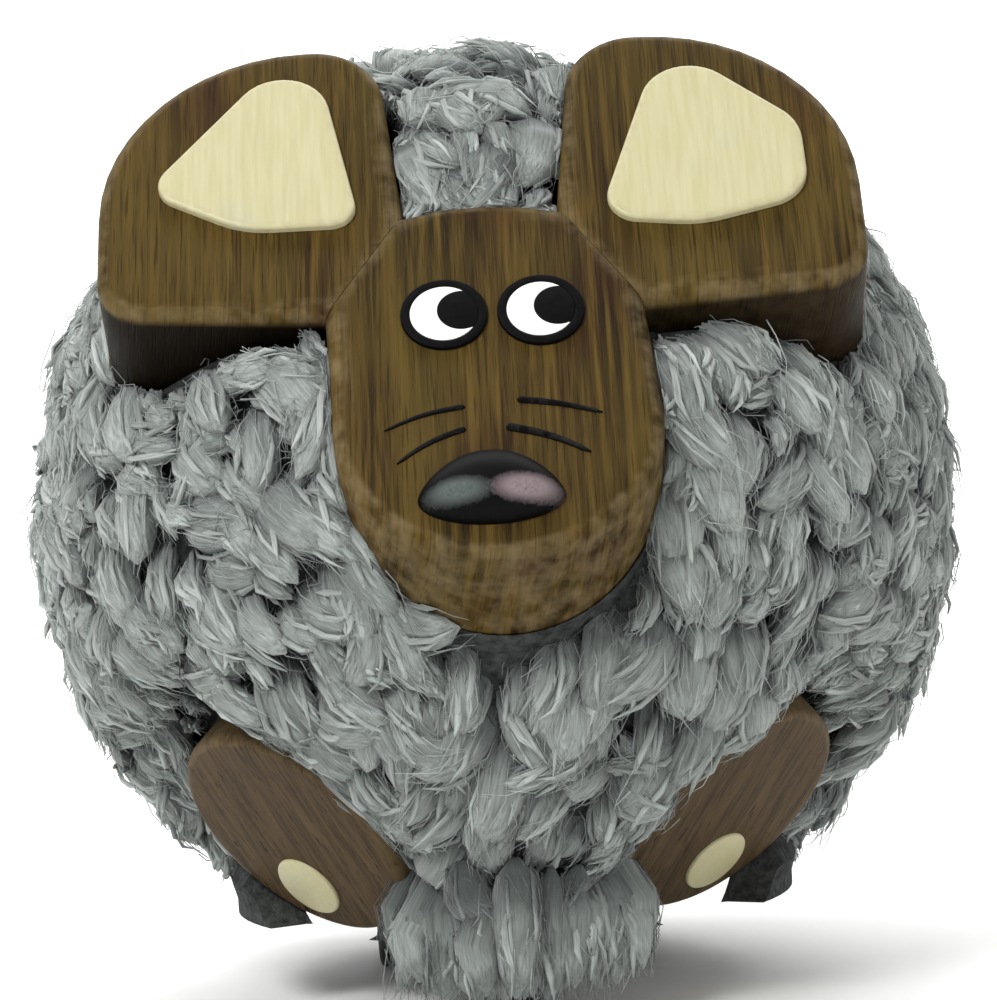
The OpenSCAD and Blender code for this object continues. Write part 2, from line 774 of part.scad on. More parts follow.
module click_spring() color(steel)
    at_arbor(great_y, great_z) {
        translate(click_spring_peg) cylinder(r = pin_r, h = great_t + ratchet_lift);
        translate([0, 0, great_t + ratchet_lift]) linear_extrude(height = ratchet_t - 0.2) {
            translate(click_spring_peg) circle(r = pin_r + 0.5);
            polygon([click_spring_peg + [-0.3, 0], click_spring_peg + [0.3, 0.2], [7.4, 3.6], [7.05, 3.2]]);
        }
    }

module click() color(steel)
    at_arbor(ratchet_y, great_z) difference() {
        linear_extrude(height = ratchet_t - 0.1) {
            polygon([
                [ratchet_root + click_gap, click_gap], click_nose,
                click_pivot + [1.5, -0.8], click_pivot + [-1.5, 0.4],
                [ratchet_r * cos(30) + 0.35, ratchet_r * sin(30) + 0.4]
            ]);
            translate(click_pivot) circle(r = pin_r + 1);
        }
        translate([click_pivot[0], click_pivot[1], -1]) cylinder(r = pin_r + run_gap, h = ratchet_t + 2);
    }

module winding_arbor() color(steel) {
    at_arbor(front_plate_y - 0.8, great_z)
        cylinder(r = arbor_r, h = key_hub_y + key_bore_l - front_plate_y + 0.8);
    at_arbor(spring_y - 0.3, great_z) cylinder(r = arbor_r + 1.1, h = spring_w + 0.6);
}

module ratchet_wheel() color(steel)
    at_arbor(ratchet_y, great_z) difference() {
        linear_extrude(height = ratchet_t)
            polygon([for (k = [0:ratchet_n - 1])
                each [polar(ratchet_r, k * 360 / ratchet_n), polar(ratchet_root, k * 360 / ratchet_n)]]);
        translate([0, 0, -eps]) cylinder(r = arbor_r, h = ratchet_t + 2 * eps);
    }

module key() color(steel)
    difference() {
        union() {
            at_arbor(key_hub_y, great_z) cylinder(r = key_hub_r, h = key_hub_l);
            translate([0, 0, great_z - key_bow_t / 2]) linear_extrude(height = key_bow_t) key_bow();
        }
        at_arbor(key_hub_y - 1, great_z) cylinder(r = arbor_r, h = key_bore_l + 1);
        for (side = [-1, 1])
            translate([side * (key_w / 2 - wing_r), key_reach - wing_r, great_z - key_bow_t])
                cylinder(r = key_hole_d / 2, h = 2 * key_bow_t);
    }

module key_bow() {
    for (side = [-1, 1]) translate([side * (key_w / 2 - wing_r), key_reach - wing_r]) circle(r = wing_r);
    polygon([
        [-key_hub_r + key_neck, key_bow_y], [key_hub_r - key_neck, key_bow_y],
        [key_w / 2 - wing_r + key_wing_in, key_reach - 2 * wing_r + 1],
        [key_w / 2 - wing_r, key_reach - wing_r / 2], [-key_w / 2 + wing_r, key_reach - wing_r / 2],
        [-key_w / 2 + wing_r - key_wing_in, key_reach - 2 * wing_r + 1]
    ]);
}

module train_arbor(z, y1) {
    at_arbor(front_plate_y - arbor_end, z) cylinder(r = train_arbor_r, h = y1 - front_plate_y + arbor_end);
}

module second_arbor() color(steel) train_arbor(second_z, back_plate_y + plate_t + arbor_end);

module second_wheel() color(brass)
    at_arbor(second_y, second_z)
        wheel_blank(second_teeth, second_t, train_arbor_r, 180 / second_teeth, [0, 90, 180, 270]);

module second_pinion() color(steel)
    at_arbor(great_y + great_t / 2 - pinion_l / 2, second_z) pinion(pinion_l, train_arbor_r);

module third_arbor() color(steel) train_arbor(third_z, crown_rim_y);

module third_pinion() color(steel)
    at_arbor(second_y + second_t / 2 - pinion_l / 2 + 0.5, third_z) pinion(pinion_l - 0.4, train_arbor_r);

module crown_wheel() color(brass) {
    tooth_h = pinion_add + tip_gap + wheel_add;
    root_w = 0.46;
    tip_w = 0.14;
    difference() {
        union() {
            at_arbor(crown_rim_y - crown_disc_t, third_z)
                cylinder(r = crown_pr + crown_face, h = crown_disc_t);
            at_arbor(back_plate_y + plate_t + 0.4, third_z) cylinder(r = crown_hub_r, h = 1.6);
        }
        at_arbor(0, third_z) cylinder(r = train_arbor_r, h = big / 4);
    }
    at_arbor(crown_rim_y, third_z) for (k = [0:crown_teeth - 1])
        rotate([0, 0, k * 360 / crown_teeth]) translate([crown_pr - crown_face, 0, -0.2]) rotate([90, 0, 90])
            linear_extrude(height = 2 * crown_face - 0.02)
                polygon([[-root_w, 0], [root_w, 0], [tip_w, tooth_h + 0.2], [-tip_w, tooth_h + 0.2]]);
}

// Running gear
module drive_axle() color(steel) along_x(-axle_half, axle_y, axle_z) cylinder(r = axle_r, h = 2 * axle_half);

module axle_pinion() color(steel)
    along_x(crown_pr - axle_pinion_l / 2, axle_y, axle_z) pinion(axle_pinion_l, axle_r);

module at_wheels(x) {
    for (side = [-1, 1]) scale([side, 1, 1]) along_x(x, axle_y, axle_z) children();
}

module wheel_hubs() color(tinplate)
    at_wheels(0) difference() {
        union() {
            translate([0, 0, half_track - wheel_w / 2]) cylinder(r = hub_r, h = wheel_w);
            translate([0, 0, lug_x + lug_t + 0.2]) cylinder(r = hub_neck_r, h = half_track - lug_x - lug_t);
        }
        cylinder(r = axle_r, h = big / 4);
        translate([0, 0, half_track + wheel_w / 2 - 1]) ring(hub_r - 1.2, axle_r + 1.6, 2);
    }

module tyres() color(rubber)
    at_wheels(half_track - wheel_w / 2) rotate_extrude($fn = 72)
        polygon([
            [hub_r, 0], [wheel_d / 2 - tyre_edge, 0], [wheel_d / 2, tyre_edge],
            [wheel_d / 2, wheel_w - tyre_edge], [wheel_d / 2 - tyre_edge, wheel_w], [hub_r, wheel_w]
        ]);

// Steering
module steering_fork() color(tinplate)
    difference() {
        union() {
            translate([0, -steer_y, fork_top - eps])
                cylinder(r = stem_r, h = rim_z + steer_boss_h - fork_top + 1.4);
            translate([-fork_half_w, roller_y - fork_leg_half, fork_top - fork_leg_t])
                cube([2 * fork_half_w, steer_lead + 5, fork_leg_t]);
            translate([0, -steer_y, fork_top - 0.2]) cylinder(r = steer_boss_r, h = 1.2);
            for (x = [-fork_half_w, fork_half_w - fork_leg_t])
                translate([x, roller_y - fork_leg_half, roller_z - 2.4])
                    cube([fork_leg_t, 2 * fork_leg_half, fork_top - roller_z + 1.9]);
        }
        along_x(-big / 2, roller_y, roller_z) cylinder(r = pin_r, h = big);
    }

module steering_washer() color(steel)
    translate([0, -steer_y, rim_z + steer_boss_h + 0.1]) ring(stem_r + 1.3, stem_r, steer_washer_t);

module roller_pin() color(steel)
    along_x(-fork_half_w - 0.4, roller_y, roller_z) cylinder(r = pin_r, h = 2 * fork_half_w + 0.8);

module front_roller() color(rubber)
    along_x(-roller_w / 2, roller_y, roller_z) ring(roller_d / 2, pin_r + run_gap, roller_w);

wool_coat();
lower_shell();
upper_shell();
chassis_plate();
chassis_screws();
head_block();
left_ear();
right_ear();
ear_dowels();
left_ear_panel();
right_ear_panel();
eye_rims();
eye_whites();
pupils();
nose();
head_dowel();
head_screws();
left_foot();
right_foot();
foot_dots();
foot_screws();
motor_front_plate();
motor_back_plate();
motor_pillars();
motor_screws();
arbor_bushes();
mainspring();
key_tube();
great_wheel();
click_rivet();
click_spring();
click();
winding_arbor();
ratchet_wheel();
key();
second_arbor();
second_wheel();
second_pinion();
third_arbor();
third_pinion();
crown_wheel();
drive_axle();
axle_pinion();
wheel_hubs();
tyres();
steering_fork();
steering_washer();
roller_pin();
front_roller();
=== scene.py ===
import json
import math

import bmesh
import bpy
import numpy as np
from bpy.props import FloatProperty, FloatVectorProperty, IntProperty, PointerProperty
from mathutils import Matrix, Vector


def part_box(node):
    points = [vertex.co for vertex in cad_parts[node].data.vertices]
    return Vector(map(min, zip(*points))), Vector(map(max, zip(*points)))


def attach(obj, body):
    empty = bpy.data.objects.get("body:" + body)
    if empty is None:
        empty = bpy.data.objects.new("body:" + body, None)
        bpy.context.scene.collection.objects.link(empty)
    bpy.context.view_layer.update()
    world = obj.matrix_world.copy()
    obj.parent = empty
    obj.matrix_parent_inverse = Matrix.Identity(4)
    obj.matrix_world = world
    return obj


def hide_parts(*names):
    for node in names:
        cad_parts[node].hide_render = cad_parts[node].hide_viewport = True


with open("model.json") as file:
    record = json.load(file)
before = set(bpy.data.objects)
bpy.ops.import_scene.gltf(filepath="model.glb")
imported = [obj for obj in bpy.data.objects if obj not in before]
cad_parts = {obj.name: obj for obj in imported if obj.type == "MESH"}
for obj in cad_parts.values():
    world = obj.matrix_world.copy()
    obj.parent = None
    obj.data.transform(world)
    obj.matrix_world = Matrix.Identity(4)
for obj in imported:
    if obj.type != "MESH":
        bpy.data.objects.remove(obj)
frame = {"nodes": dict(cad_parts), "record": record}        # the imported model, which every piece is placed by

bl_info = {
    "name": "Clockwork Mouse",
    "version": (1, 0, 0),
    "blender": (4, 5, 0),
    "location": "3D View > Sidebar > Mouse",
    "description": "Dresses the frame of a clockwork mouse in wool, walnut, paint, brass and steel",
    "category": "Object",
}

MM = 0.001
UP = Vector((0, 0, 1))
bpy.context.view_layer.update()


# Places that the frame gives

def ball():
    """Centre and radius of the ball of wool."""
    low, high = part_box("wool_coat")
    radius = (high.x - low.x) / 2
    return Vector((0, 0, high.z - radius)), radius


def flat_face(node, facing):
    """Normal and centre of the largest flat face of a CAD node that looks along facing."""
    facing = Vector(facing).normalized()
    areas = {}
    for face in frame["nodes"][node].data.polygons:
        if face.normal.dot(facing) > 0.5:
            reach = round(face.center.dot(face.normal), 5)
            key = (*(round(c, 3) for c in face.normal), reach)
            whole, middle, normal = areas.get(key, (0, Vector(), Vector()))
            areas[key] = (whole + face.area, middle + face.center * face.area, normal + face.normal * face.area)
    whole, middle, normal = max(areas.values(), key=lambda found: found[0])
    return normal.normalized(), middle / whole


def frame_on(normal, origin):
    """The placement whose Z is a face's normal and whose X is level."""
    across = UP.cross(normal).normalized()
    turn = Matrix((across, normal.cross(across), normal)).transposed()
    return Matrix.Translation(origin) @ turn.to_4x4()


BALL_AT, BALL_R = ball()
FACE_N, FACE_MID = flat_face("head_block", (0, -1, 0.5))
FACE_REACH = (FACE_MID - BALL_AT).dot(FACE_N)
FACE = frame_on(FACE_N, BALL_AT)
SOLE = {}
for side, foot in ((-1, "left_foot"), (1, "right_foot")):
    normal, middle = flat_face(foot, (side, -1, -0.5))
    SOLE[foot] = frame_on(normal, middle)
FOOT_R = max((SOLE["left_foot"].inverted() @ v.co).xy.length for v in frame["nodes"]["left_foot"].data.vertices)


# Settings that a user would change

class MouseWool(bpy.types.PropertyGroup):
    tufts: IntProperty(name="Tufts", description="Tufts over the whole ball", default=1900, min=200, max=3000)
    length: FloatProperty(name="Length", description="Length of a tuft", default=8.8 * MM, unit="LENGTH")
    width: FloatProperty(name="Width", description="Width of a tuft", default=4.7 * MM, unit="LENGTH")
    locks: IntProperty(name="Locks", description="Thick locks in each tuft", default=6, min=0, max=20)
    fibres: IntProperty(name="Fibres", description="Fine fibres over each tuft", default=27, min=0, max=120)
    fibre: FloatProperty(name="Fibre", description="Thickness of a fibre", default=0.16 * MM, unit="LENGTH")
    swirl: FloatProperty(name="Swirl", description="How far the tufts stray from the combing", default=0.8)
    colour: FloatVectorProperty(name="Colour", description="Colour of the wool", subtype="COLOR",
                                default=(0.47, 0.51, 0.485))
    seed: IntProperty(name="Seed", description="Start of the random draws", default=7)


class MouseWood(bpy.types.PropertyGroup):
    dark: FloatVectorProperty(name="Dark", description="Dark streaks of the walnut", subtype="COLOR",
                              default=(0.013, 0.0065, 0.0015))
    middle: FloatVectorProperty(name="Middle", description="Middle colour of the walnut", subtype="COLOR",
                                default=(0.058, 0.034, 0.0065))
    light: FloatVectorProperty(name="Light", description="Light streaks of the walnut", subtype="COLOR",
                               default=(0.102, 0.062, 0.013))
    round_over: FloatProperty(name="Round-over", description="Radius of the worn edges", default=1.6 * MM,
                              unit="LENGTH")
    mitre: FloatProperty(name="Mitre", description="Bevel along the joint of an ear and the head",
                         default=0.35 * MM, unit="LENGTH")


class MousePaint(bpy.types.PropertyGroup):
    cream: FloatVectorProperty(name="Cream", description="Colour of the ear panels and foot dots",
                               subtype="COLOR", default=(0.49, 0.45, 0.25))
    black: FloatVectorProperty(name="Black", description="Colour of the rims, pupils, nose and whiskers",
                               subtype="COLOR", default=(0.002, 0.002, 0.002))
    white: FloatVectorProperty(name="White", description="Colour of the eyes", subtype="COLOR",
                               default=(0.84, 0.84, 0.82))


class MouseStage(bpy.types.PropertyGroup):
    distance: FloatProperty(name="Distance", description="From the camera to the middle of the ball",
                            default=0.45, unit="LENGTH")
    height: FloatProperty(name="Height", description="Angle of the camera above level",
                          default=math.radians(3), unit="ROTATION")
    roll: FloatProperty(name="Roll", description="Turn of the camera about its own line of sight",
                        default=math.radians(3), unit="ROTATION")
    lens: FloatProperty(name="Lens", description="Focal length for a 36 mm sensor, in millimetres",
                        default=136.6)
    daylight: FloatProperty(name="Daylight", description="Strength of the light from all round", default=0.42)


# Mesh work

def copy_of(node):
    """A bmesh of a CAD node with its loose triangles merged."""
    bm = bmesh.new()
    bm.from_mesh(frame["nodes"][node].data)
    bmesh.ops.remove_doubles(bm, verts=bm.verts, dist=1e-6)
    return bm


def flat_sheet(node, facing):
    """The largest flat faces of a CAD node that look along facing, with their holes, in a new bmesh."""
    normal, middle = flat_face(node, facing)
    bm = copy_of(node)
    rest = [f for f in bm.faces
            if f.normal.dot(normal) < 0.999 or abs((f.calc_center_median() - middle).dot(normal)) > 0.02 * MM]
    bmesh.ops.delete(bm, geom=rest, context="FACES")
    bmesh.ops.dissolve_limit(bm, angle_limit=math.radians(0.2), verts=bm.verts, edges=bm.edges)
    return bm, normal


def flat_part(node, facing):
    """The outline of a CAD node's largest flat face, as one face without holes in a new bmesh."""
    bm, normal = flat_sheet(node, facing)
    bm.verts.index_update()
    rim = [e.link_loops[0] for e in bm.edges if e.is_boundary]
    after = {loop.vert.index: loop.link_loop_next.vert.index for loop in rim}
    places = [v.co.copy() for v in bm.verts]
    bm.free()
    loops = []
    while after:
        k, step = after.popitem()
        loop = [k]
        while step in after:
            loop.append(step)
            step = after.pop(step)
        loops.append([places[k] for k in loop])
    outer = max(loops, key=lambda loop: sum((a - b).length for a, b in zip(loop, loop[1:])))
    points = [p for p, q in zip(outer, outer[1:] + outer[:1]) if (p - q).length > 0.12 * MM]
    bm = bmesh.new()
    bm.faces.new([bm.verts.new(p) for p in points])
    bm.normal_update()
    return bm, normal


def thicken(bm, normal, depth):
    """Makes a flat sheet a plate that goes depth back from it, and returns the front rim's edges."""
    back = bmesh.ops.extrude_face_region(bm, geom=bm.faces[:])["geom"]
    moved = [v for v in back if isinstance(v, bmesh.types.BMVert)]
    bmesh.ops.translate(bm, vec=-normal * depth, verts=moved)
    bmesh.ops.recalc_face_normals(bm, faces=bm.faces)
    return rims(bm, normal)


def rims(bm, normal):
    """The edges between the faces that look along normal and those that stand square to them."""
    return [e for e in bm.edges if len(e.link_faces) == 2
            and sorted(abs(round(f.normal.dot(normal))) for f in e.link_faces) == [0, 1]
            and max(f.normal.dot(normal) for f in e.link_faces) > 0.9]


def round_edges(bm, edges, radius, segments=3):
    """Rounds edges over, and returns the new faces."""
    return bmesh.ops.bevel(bm, geom=edges, offset=radius, offset_type="OFFSET", segments=segments,
                           profile=0.5, affect="EDGES", material=-1, clamp_overlap=True)["faces"]


def piece(name, bm, mat, body, slot, *nodes, smooth=True):
    """Makes a bmesh a finished piece of the mouse, on a body, in place of CAD nodes."""
    mesh = bpy.data.meshes.new(name)
    bm.to_mesh(mesh)
    bm.free()
    return place(name, mesh, mat, body, slot, *nodes, smooth=smooth)


def place(name, mesh, mat, body, slot, *nodes, smooth=True):
    mesh.materials.append(mat)
    mesh.shade_smooth() if smooth else mesh.shade_flat()
    obj = bpy.data.objects.new(name, mesh)
    bpy.context.scene.collection.objects.link(obj)
    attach(obj, body)
    if nodes:
        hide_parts(*nodes)
    return obj


def sharpen(obj, angle=35):
    """Keeps the edges of a smooth piece crisp where its faces meet at more than an angle."""
    bm = bmesh.new()
    bm.from_mesh(obj.data)
    for edge in bm.edges:
        edge.smooth = edge.calc_face_angle(0) < math.radians(angle)
    bm.to_mesh(obj.data)
    bm.free()


# Materials

class Recipe:
    """A material in the making: one shader, and the nodes that feed it."""

    def __init__(self, name, colour, roughness, **sockets):
        self.mat = bpy.data.materials.new(name)
        self.mat.use_nodes = True
        self.tree = self.mat.node_tree
        self.shader = self.tree.nodes["Principled BSDF"]
        self.shader.inputs["Base Color"].default_value = (*colour, 1)
        self.shader.inputs["Roughness"].default_value = roughness
        for socket, value in sockets.items():
            self.shader.inputs[socket.replace("_", " ")].default_value = value

    def put(self, socket, value):
        """Sets an input to a constant, or wires a socket to it."""
        if isinstance(value, bpy.types.NodeSocket):
            self.tree.links.new(value, socket)
        elif socket.type == "RGBA" and len(value) == 3:
            socket.default_value = (*value, 1)
        else:
            socket.default_value = value

    def node(self, kind, output=0, settings=(), **inputs):
        """Adds a node, and returns one of its outputs."""
        node = self.tree.nodes.new("ShaderNode" + kind)
        for name, value in dict(settings).items():
            setattr(node, name, value)
        for name, value in inputs.items():
            key = int(name[1:]) if name[1:].isdigit() else name.replace("_", " ")
            self.put(node.inputs[key], value)
        return node.outputs[output]

    def coordinates(self, size, at=None):
        """Object coordinates in a placement's own directions, with one unit to each feature's size."""
        at = at or Matrix.Identity(4)
        source = self.node("TexCoord", output="Object")
        return self.node("Mapping", settings={"vector_type": "TEXTURE"}, Vector=source,
                         Location=at.to_translation(), Rotation=at.to_euler(), Scale=size)

    def grain(self, size, at=None, detail=2.0, rough=0.5, bend=0.0, vector=None):
        """Noise with features of a size, in metres."""
        return self.node("TexNoise", Vector=vector or self.coordinates(size, at), Scale=1.0, Detail=detail,
                         Roughness=rough, Distortion=bend)

    def between(self, value, low, high, to_low=0.0, to_high=1.0):
        return self.node("MapRange", Value=value, From_Min=low, From_Max=high, To_Min=to_low, To_Max=to_high)

    def math(self, kind, a, b):
        return self.node("Math", settings={"operation": kind}, _0=a, _1=b)

    def mix(self, factor, a, b, kind="MIX"):
        settings = {"data_type": "RGBA", "blend_type": kind}
        return self.node("Mix", output=2, settings=settings, _0=factor, _6=a, _7=b)

    def attribute(self, name, output="Fac"):
        return self.node("Attribute", output=output, settings={"attribute_name": name})

    def colour(self, value):
        self.put(self.shader.inputs["Base Color"], value)

    def roughness(self, value):
        self.put(self.shader.inputs["Roughness"], value)

    def bump(self, height, depth, strength=1.0):
        """Relief from a height of 0 to 1, depth metres deep."""
        self.put(self.shader.inputs["Normal"],
                 self.node("Bump", Height=height, Distance=depth, Strength=strength))


def walnut(name, at, shift=0.0, underside_shade=0.0):
    """Walnut with its grain along a placement's Y, dark pores, pale worn edges, and painted shade that darkens
    the undersides.
    """
    wood = bpy.context.scene.mouse_wood
    r = Recipe(name, wood.middle, 0.6, Specular_IOR_Level=0.08)
    level = r.node("SeparateXYZ", output=2, Vector=r.coordinates((1, 1, 1), at))
    at = at @ Matrix.Translation((shift, shift * 2, shift * 3)) @ Matrix.Rotation(math.radians(8), 4, "Y")
    bands = r.grain((4.2 * MM, 70 * MM, 26 * MM), at, detail=2, bend=0.8)
    streaks = r.grain((0.9 * MM, 26 * MM, 10 * MM), at, detail=4, rough=0.6, bend=0.4)
    pores = r.grain((0.26 * MM, 8 * MM, 4 * MM), at, detail=2)
    blotches = r.grain((9 * MM, 22 * MM, 12 * MM), at, detail=2)
    ground = r.mix(r.between(bands, 0.40, 0.60), wood.dark, wood.middle)
    ground = r.mix(r.between(streaks, 0.44, 0.66), ground, wood.light)
    ground = r.mix(r.between(blotches, 0.42, 0.68, 0.0, 0.5), ground, (0.092, 0.062, 0.012))
    ground = r.mix(r.between(blotches, 0.46, 0.30, 0.0, 0.55), ground, (0.038, 0.014, 0.005))
    open_pores = r.between(pores, 0.54, 0.70)
    ground = r.mix(r.math("MULTIPLY", open_pores, 0.6), ground, (0.012, 0.006, 0.002))
    wear = r.grain((2.2 * MM,) * 3, at, detail=4)
    rubbed = r.math("MULTIPLY", r.attribute("edge"), r.between(wear, 0.35, 0.7))
    ground = r.mix(r.math("MULTIPLY", rubbed, 0.5), ground, (0.22, 0.165, 0.085))
    # Painted shade: the sides that look down go nearly black from 1.2 mm behind the face backwards, as the
    # shadow under the ears.
    painted_shade_below = r.between(level, FACE_REACH - 1.2 * MM, FACE_REACH - 2.2 * MM, 0.0, underside_shade)
    r.colour(r.mix(r.math("MULTIPLY", painted_shade_below, r.attribute("under")), ground, (0.004, 0.0025, 0.0015)))
    r.roughness(r.between(streaks, 0.3, 0.7, 0.5, 0.7))
    r.bump(r.math("SUBTRACT", r.math("MULTIPLY", streaks, 0.4), open_pores), 0.12 * MM, 0.6)
    return r.mat


def cream_paint():
    """Satin cream paint with faint brush marks and stains, rubbed at its edge."""
    paint = bpy.context.scene.mouse_paint
    r = Recipe("cream_paint", paint.cream, 0.4)
    brush = r.grain((0.5 * MM, 9 * MM, 0.5 * MM), FACE, detail=3)
    stains = r.grain((7 * MM, 9 * MM, 7 * MM), FACE, detail=3)
    ground = r.mix(r.between(stains, 0.55, 0.72, 0.0, 0.4), paint.cream, (0.42, 0.42, 0.31))
    ground = r.mix(r.between(brush, 0.35, 0.65, 0.0, 0.18), ground, (0.70, 0.66, 0.46))
    wear = r.grain((1.4 * MM,) * 3, FACE, detail=4)
    rubbed = r.math("MULTIPLY", r.attribute("edge"), r.between(wear, 0.4, 0.7))
    r.colour(r.mix(r.math("MULTIPLY", rubbed, 0.6), ground, (0.42, 0.36, 0.2)))
    r.roughness(r.between(brush, 0.3, 0.7, 0.34, 0.5))
    r.bump(brush, 0.05 * MM, 0.5)
    return r.mat


def satin_paint(name, colour, roughness=0.5):
    """Thick satin paint with the faint ripple that a brush leaves."""
    r = Recipe(name, colour, roughness, Specular_IOR_Level=0.05)
    ripple = r.grain((1.6 * MM, 1.1 * MM, 1.6 * MM), FACE, detail=2)
    specks = r.grain((0.2 * MM,) * 3, FACE, detail=2)
    pale = tuple(min(1, c * 1.05 + 0.0005) for c in colour)
    r.colour(r.mix(r.between(specks, 0.45, 0.7), tuple(colour), pale))
    r.roughness(r.between(ripple, 0.3, 0.7, roughness * 0.8, roughness * 1.3))
    r.bump(ripple, 0.06 * MM, 0.4)
    return r.mat


def nose_paint_and_highlights(at):
    """Black paint with two soft grey painted highlights on its lower half, reflections of the pale floor
    painted into its colour.
    """
    black = bpy.context.scene.mouse_paint.black
    r = Recipe("nose_paint_and_highlights", black, 0.5, Specular_IOR_Level=0.07)
    mottling = r.grain((0.35 * MM,) * 3, at, detail=3)
    ground = tuple(black)
    # Painted highlights: a bluish grey patch on the left and a pinkish grey one on the right, with mottled
    # edges.
    for x, y, wide, high, grey in ((-3.4, -1.65, 3.7, 1.5, (0.105, 0.125, 0.118)),
                                   (3.7, -1.55, 3.9, 1.6, (0.27, 0.21, 0.225))):
        spot = at @ Matrix.Translation((x * MM, y * MM, 0))
        reach = r.node("VectorMath", output="Value", settings={"operation": "LENGTH"},
                       _0=r.coordinates((wide * MM, high * MM, 30 * MM), spot))
        edge = r.math("ADD", reach, r.between(mottling, 0.2, 0.8, -0.14, 0.14))
        highlight_amount = r.math("MULTIPLY", r.between(edge, 1.08, 0.5), r.between(mottling, 0.25, 0.75, 0.6, 1.0))
        ground = r.mix(highlight_amount, ground, grey)
    r.colour(ground)
    r.bump(mottling, 0.04 * MM, 0.3)
    return r.mat


def wool_yarn(name, colour):
    """Matt wool: each strand has a brightness of its own with painted shade, darker at its root and low on the
    sides of its tuft, and is streaked along its length.
    """
    r = Recipe(name, tuple(c * 0.8 for c in colour), 0.9, Sheen_Weight=0.35, Sheen_Roughness=0.5,
               Specular_IOR_Level=0.15)
    streaks = r.grain(None, vector=r.attribute("strand", "Vector"), detail=3, rough=0.6)
    tone_and_shade = r.math("MULTIPLY", r.attribute("tone_and_shade"), r.between(streaks, 0.28, 0.72, 0.45, 1.2))
    # The dark end of the painted shade on the strands.
    shadow = tuple(c * f for c, f in zip(colour, (0.10, 0.11, 0.11)))
    r.colour(r.mix(tone_and_shade, shadow, tuple(colour)))
    r.bump(streaks, 0.26 * MM, 0.9)
    return r.mat


def wool_ground_painted_shade(colour):
    """The matted foot of the pile, painted very dark as the shade in the gaps between the tufts."""
    r = Recipe("wool_ground_painted_shade", tuple(c * 0.08 for c in colour), 0.95, Specular_IOR_Level=0.1)
    knots = r.grain((1.2 * MM,) * 3, detail=4, rough=0.65)
    dark, light = (tuple(c * share for c in colour) for share in (0.04, 0.16))
    r.colour(r.mix(r.between(knots, 0.3, 0.7), dark, light))
    r.bump(knots, 0.6 * MM)
    return r.mat


def metal(name, colour, roughness, brushed=(0.15, 0.15, 4.0), tarnish=(0.25, 0.2, 0.15)):
    """Worked metal: fine brushing along one direction, handling marks and a little tarnish."""
    r = Recipe(name, colour, roughness, Metallic=1.0)
    lines = r.grain(tuple(s * MM for s in brushed), detail=3, rough=0.6)
    marks = r.grain((3 * MM,) * 3, detail=4, rough=0.6)
    dull = r.mix(0.5, tuple(colour), tarnish)
    r.colour(r.mix(r.between(marks, 0.5, 0.75, 0.0, 0.6), tuple(colour), dull))
    r.roughness(r.math("ADD", r.between(lines, 0.3, 0.7, roughness * 0.75, roughness * 1.3),
                       r.between(marks, 0.5, 0.8, 0.0, 0.15)))
    r.bump(lines, 0.02 * MM, 0.4)
    return r.mat


def moulded(name, colour, roughness, texture=0.35):
    """Moulded plastic or rubber with a fine eroded texture and a little dust."""
    r = Recipe(name, colour, roughness)
    spark = r.grain((texture * MM,) * 3, detail=3, rough=0.6)
    dust = r.grain((6 * MM,) * 3, detail=4)
    r.colour(r.mix(r.between(dust, 0.5, 0.8, 0.0, 0.3), tuple(colour), (0.3, 0.29, 0.27)))
    r.roughness(r.between(spark, 0.3, 0.7, roughness * 0.85, min(1.0, roughness * 1.15)))
    r.bump(spark, 0.05 * MM, 0.5)
    return r.mat


# Wool: tufts are laid along paths, and locks and fibres follow each tuft

# Where the wool is combed, and which way: right, forward and up from the middle of the ball
COMBING = (
    ((0.0, 0.75, 0.85), (0.0, 0.4, -1.0)),
    ((-0.25, 0.8, 0.75), (0.25, 0.2, -1.0)),
    ((0.3, 0.8, 0.75), (-0.2, 0.2, -1.0)),
    ((-0.55, 0.85, 0.15), (0.8, 0.1, -0.6)),
    ((-0.85, 0.5, 0.05), (0.5, 0.5, -0.7)),
    ((-0.75, 0.6, -0.35), (0.35, 0.2, -1.0)),
    ((0.0, 0.9, -0.4), (-0.25, 0.0, -1.0)),
    ((0.35, 0.85, -0.25), (-0.6, 0.0, -0.9)),
    ((0.7, 0.7, -0.1), (-0.45, 0.0, -1.0)),
    ((0.6, 0.7, 0.2), (-0.5, 0.2, -0.7)),
    ((0.0, 0.6, -0.85), (0.1, -0.2, -1.0)),
    ((-0.3, -0.7, 0.5), (-0.5, -0.5, -0.8)),
    ((0.4, -0.8, 0.1), (0.5, 0.0, -0.9)),
    ((0.0, -0.6, -0.6), (0.0, 0.3, -1.0)),
)


def unit(vectors):
    return vectors / np.maximum(np.linalg.norm(vectors, axis=-1, keepdims=True), 1e-12)


def dot(a, b):
    return (a * b).sum(-1, keepdims=True)


def smooth_steps(values, low, high):
    t = np.clip((values - low) / (high - low), 0, 1)
    return t * t * (3 - 2 * t)


def into(at, points):
    """Points in a placement's own coordinates."""
    m = np.array(at.inverted())
    return points @ m[:3, :3].T + m[:3, 3]


def out_of(at, points):
    m = np.array(at)
    return points @ m[:3, :3].T + m[:3, 3]


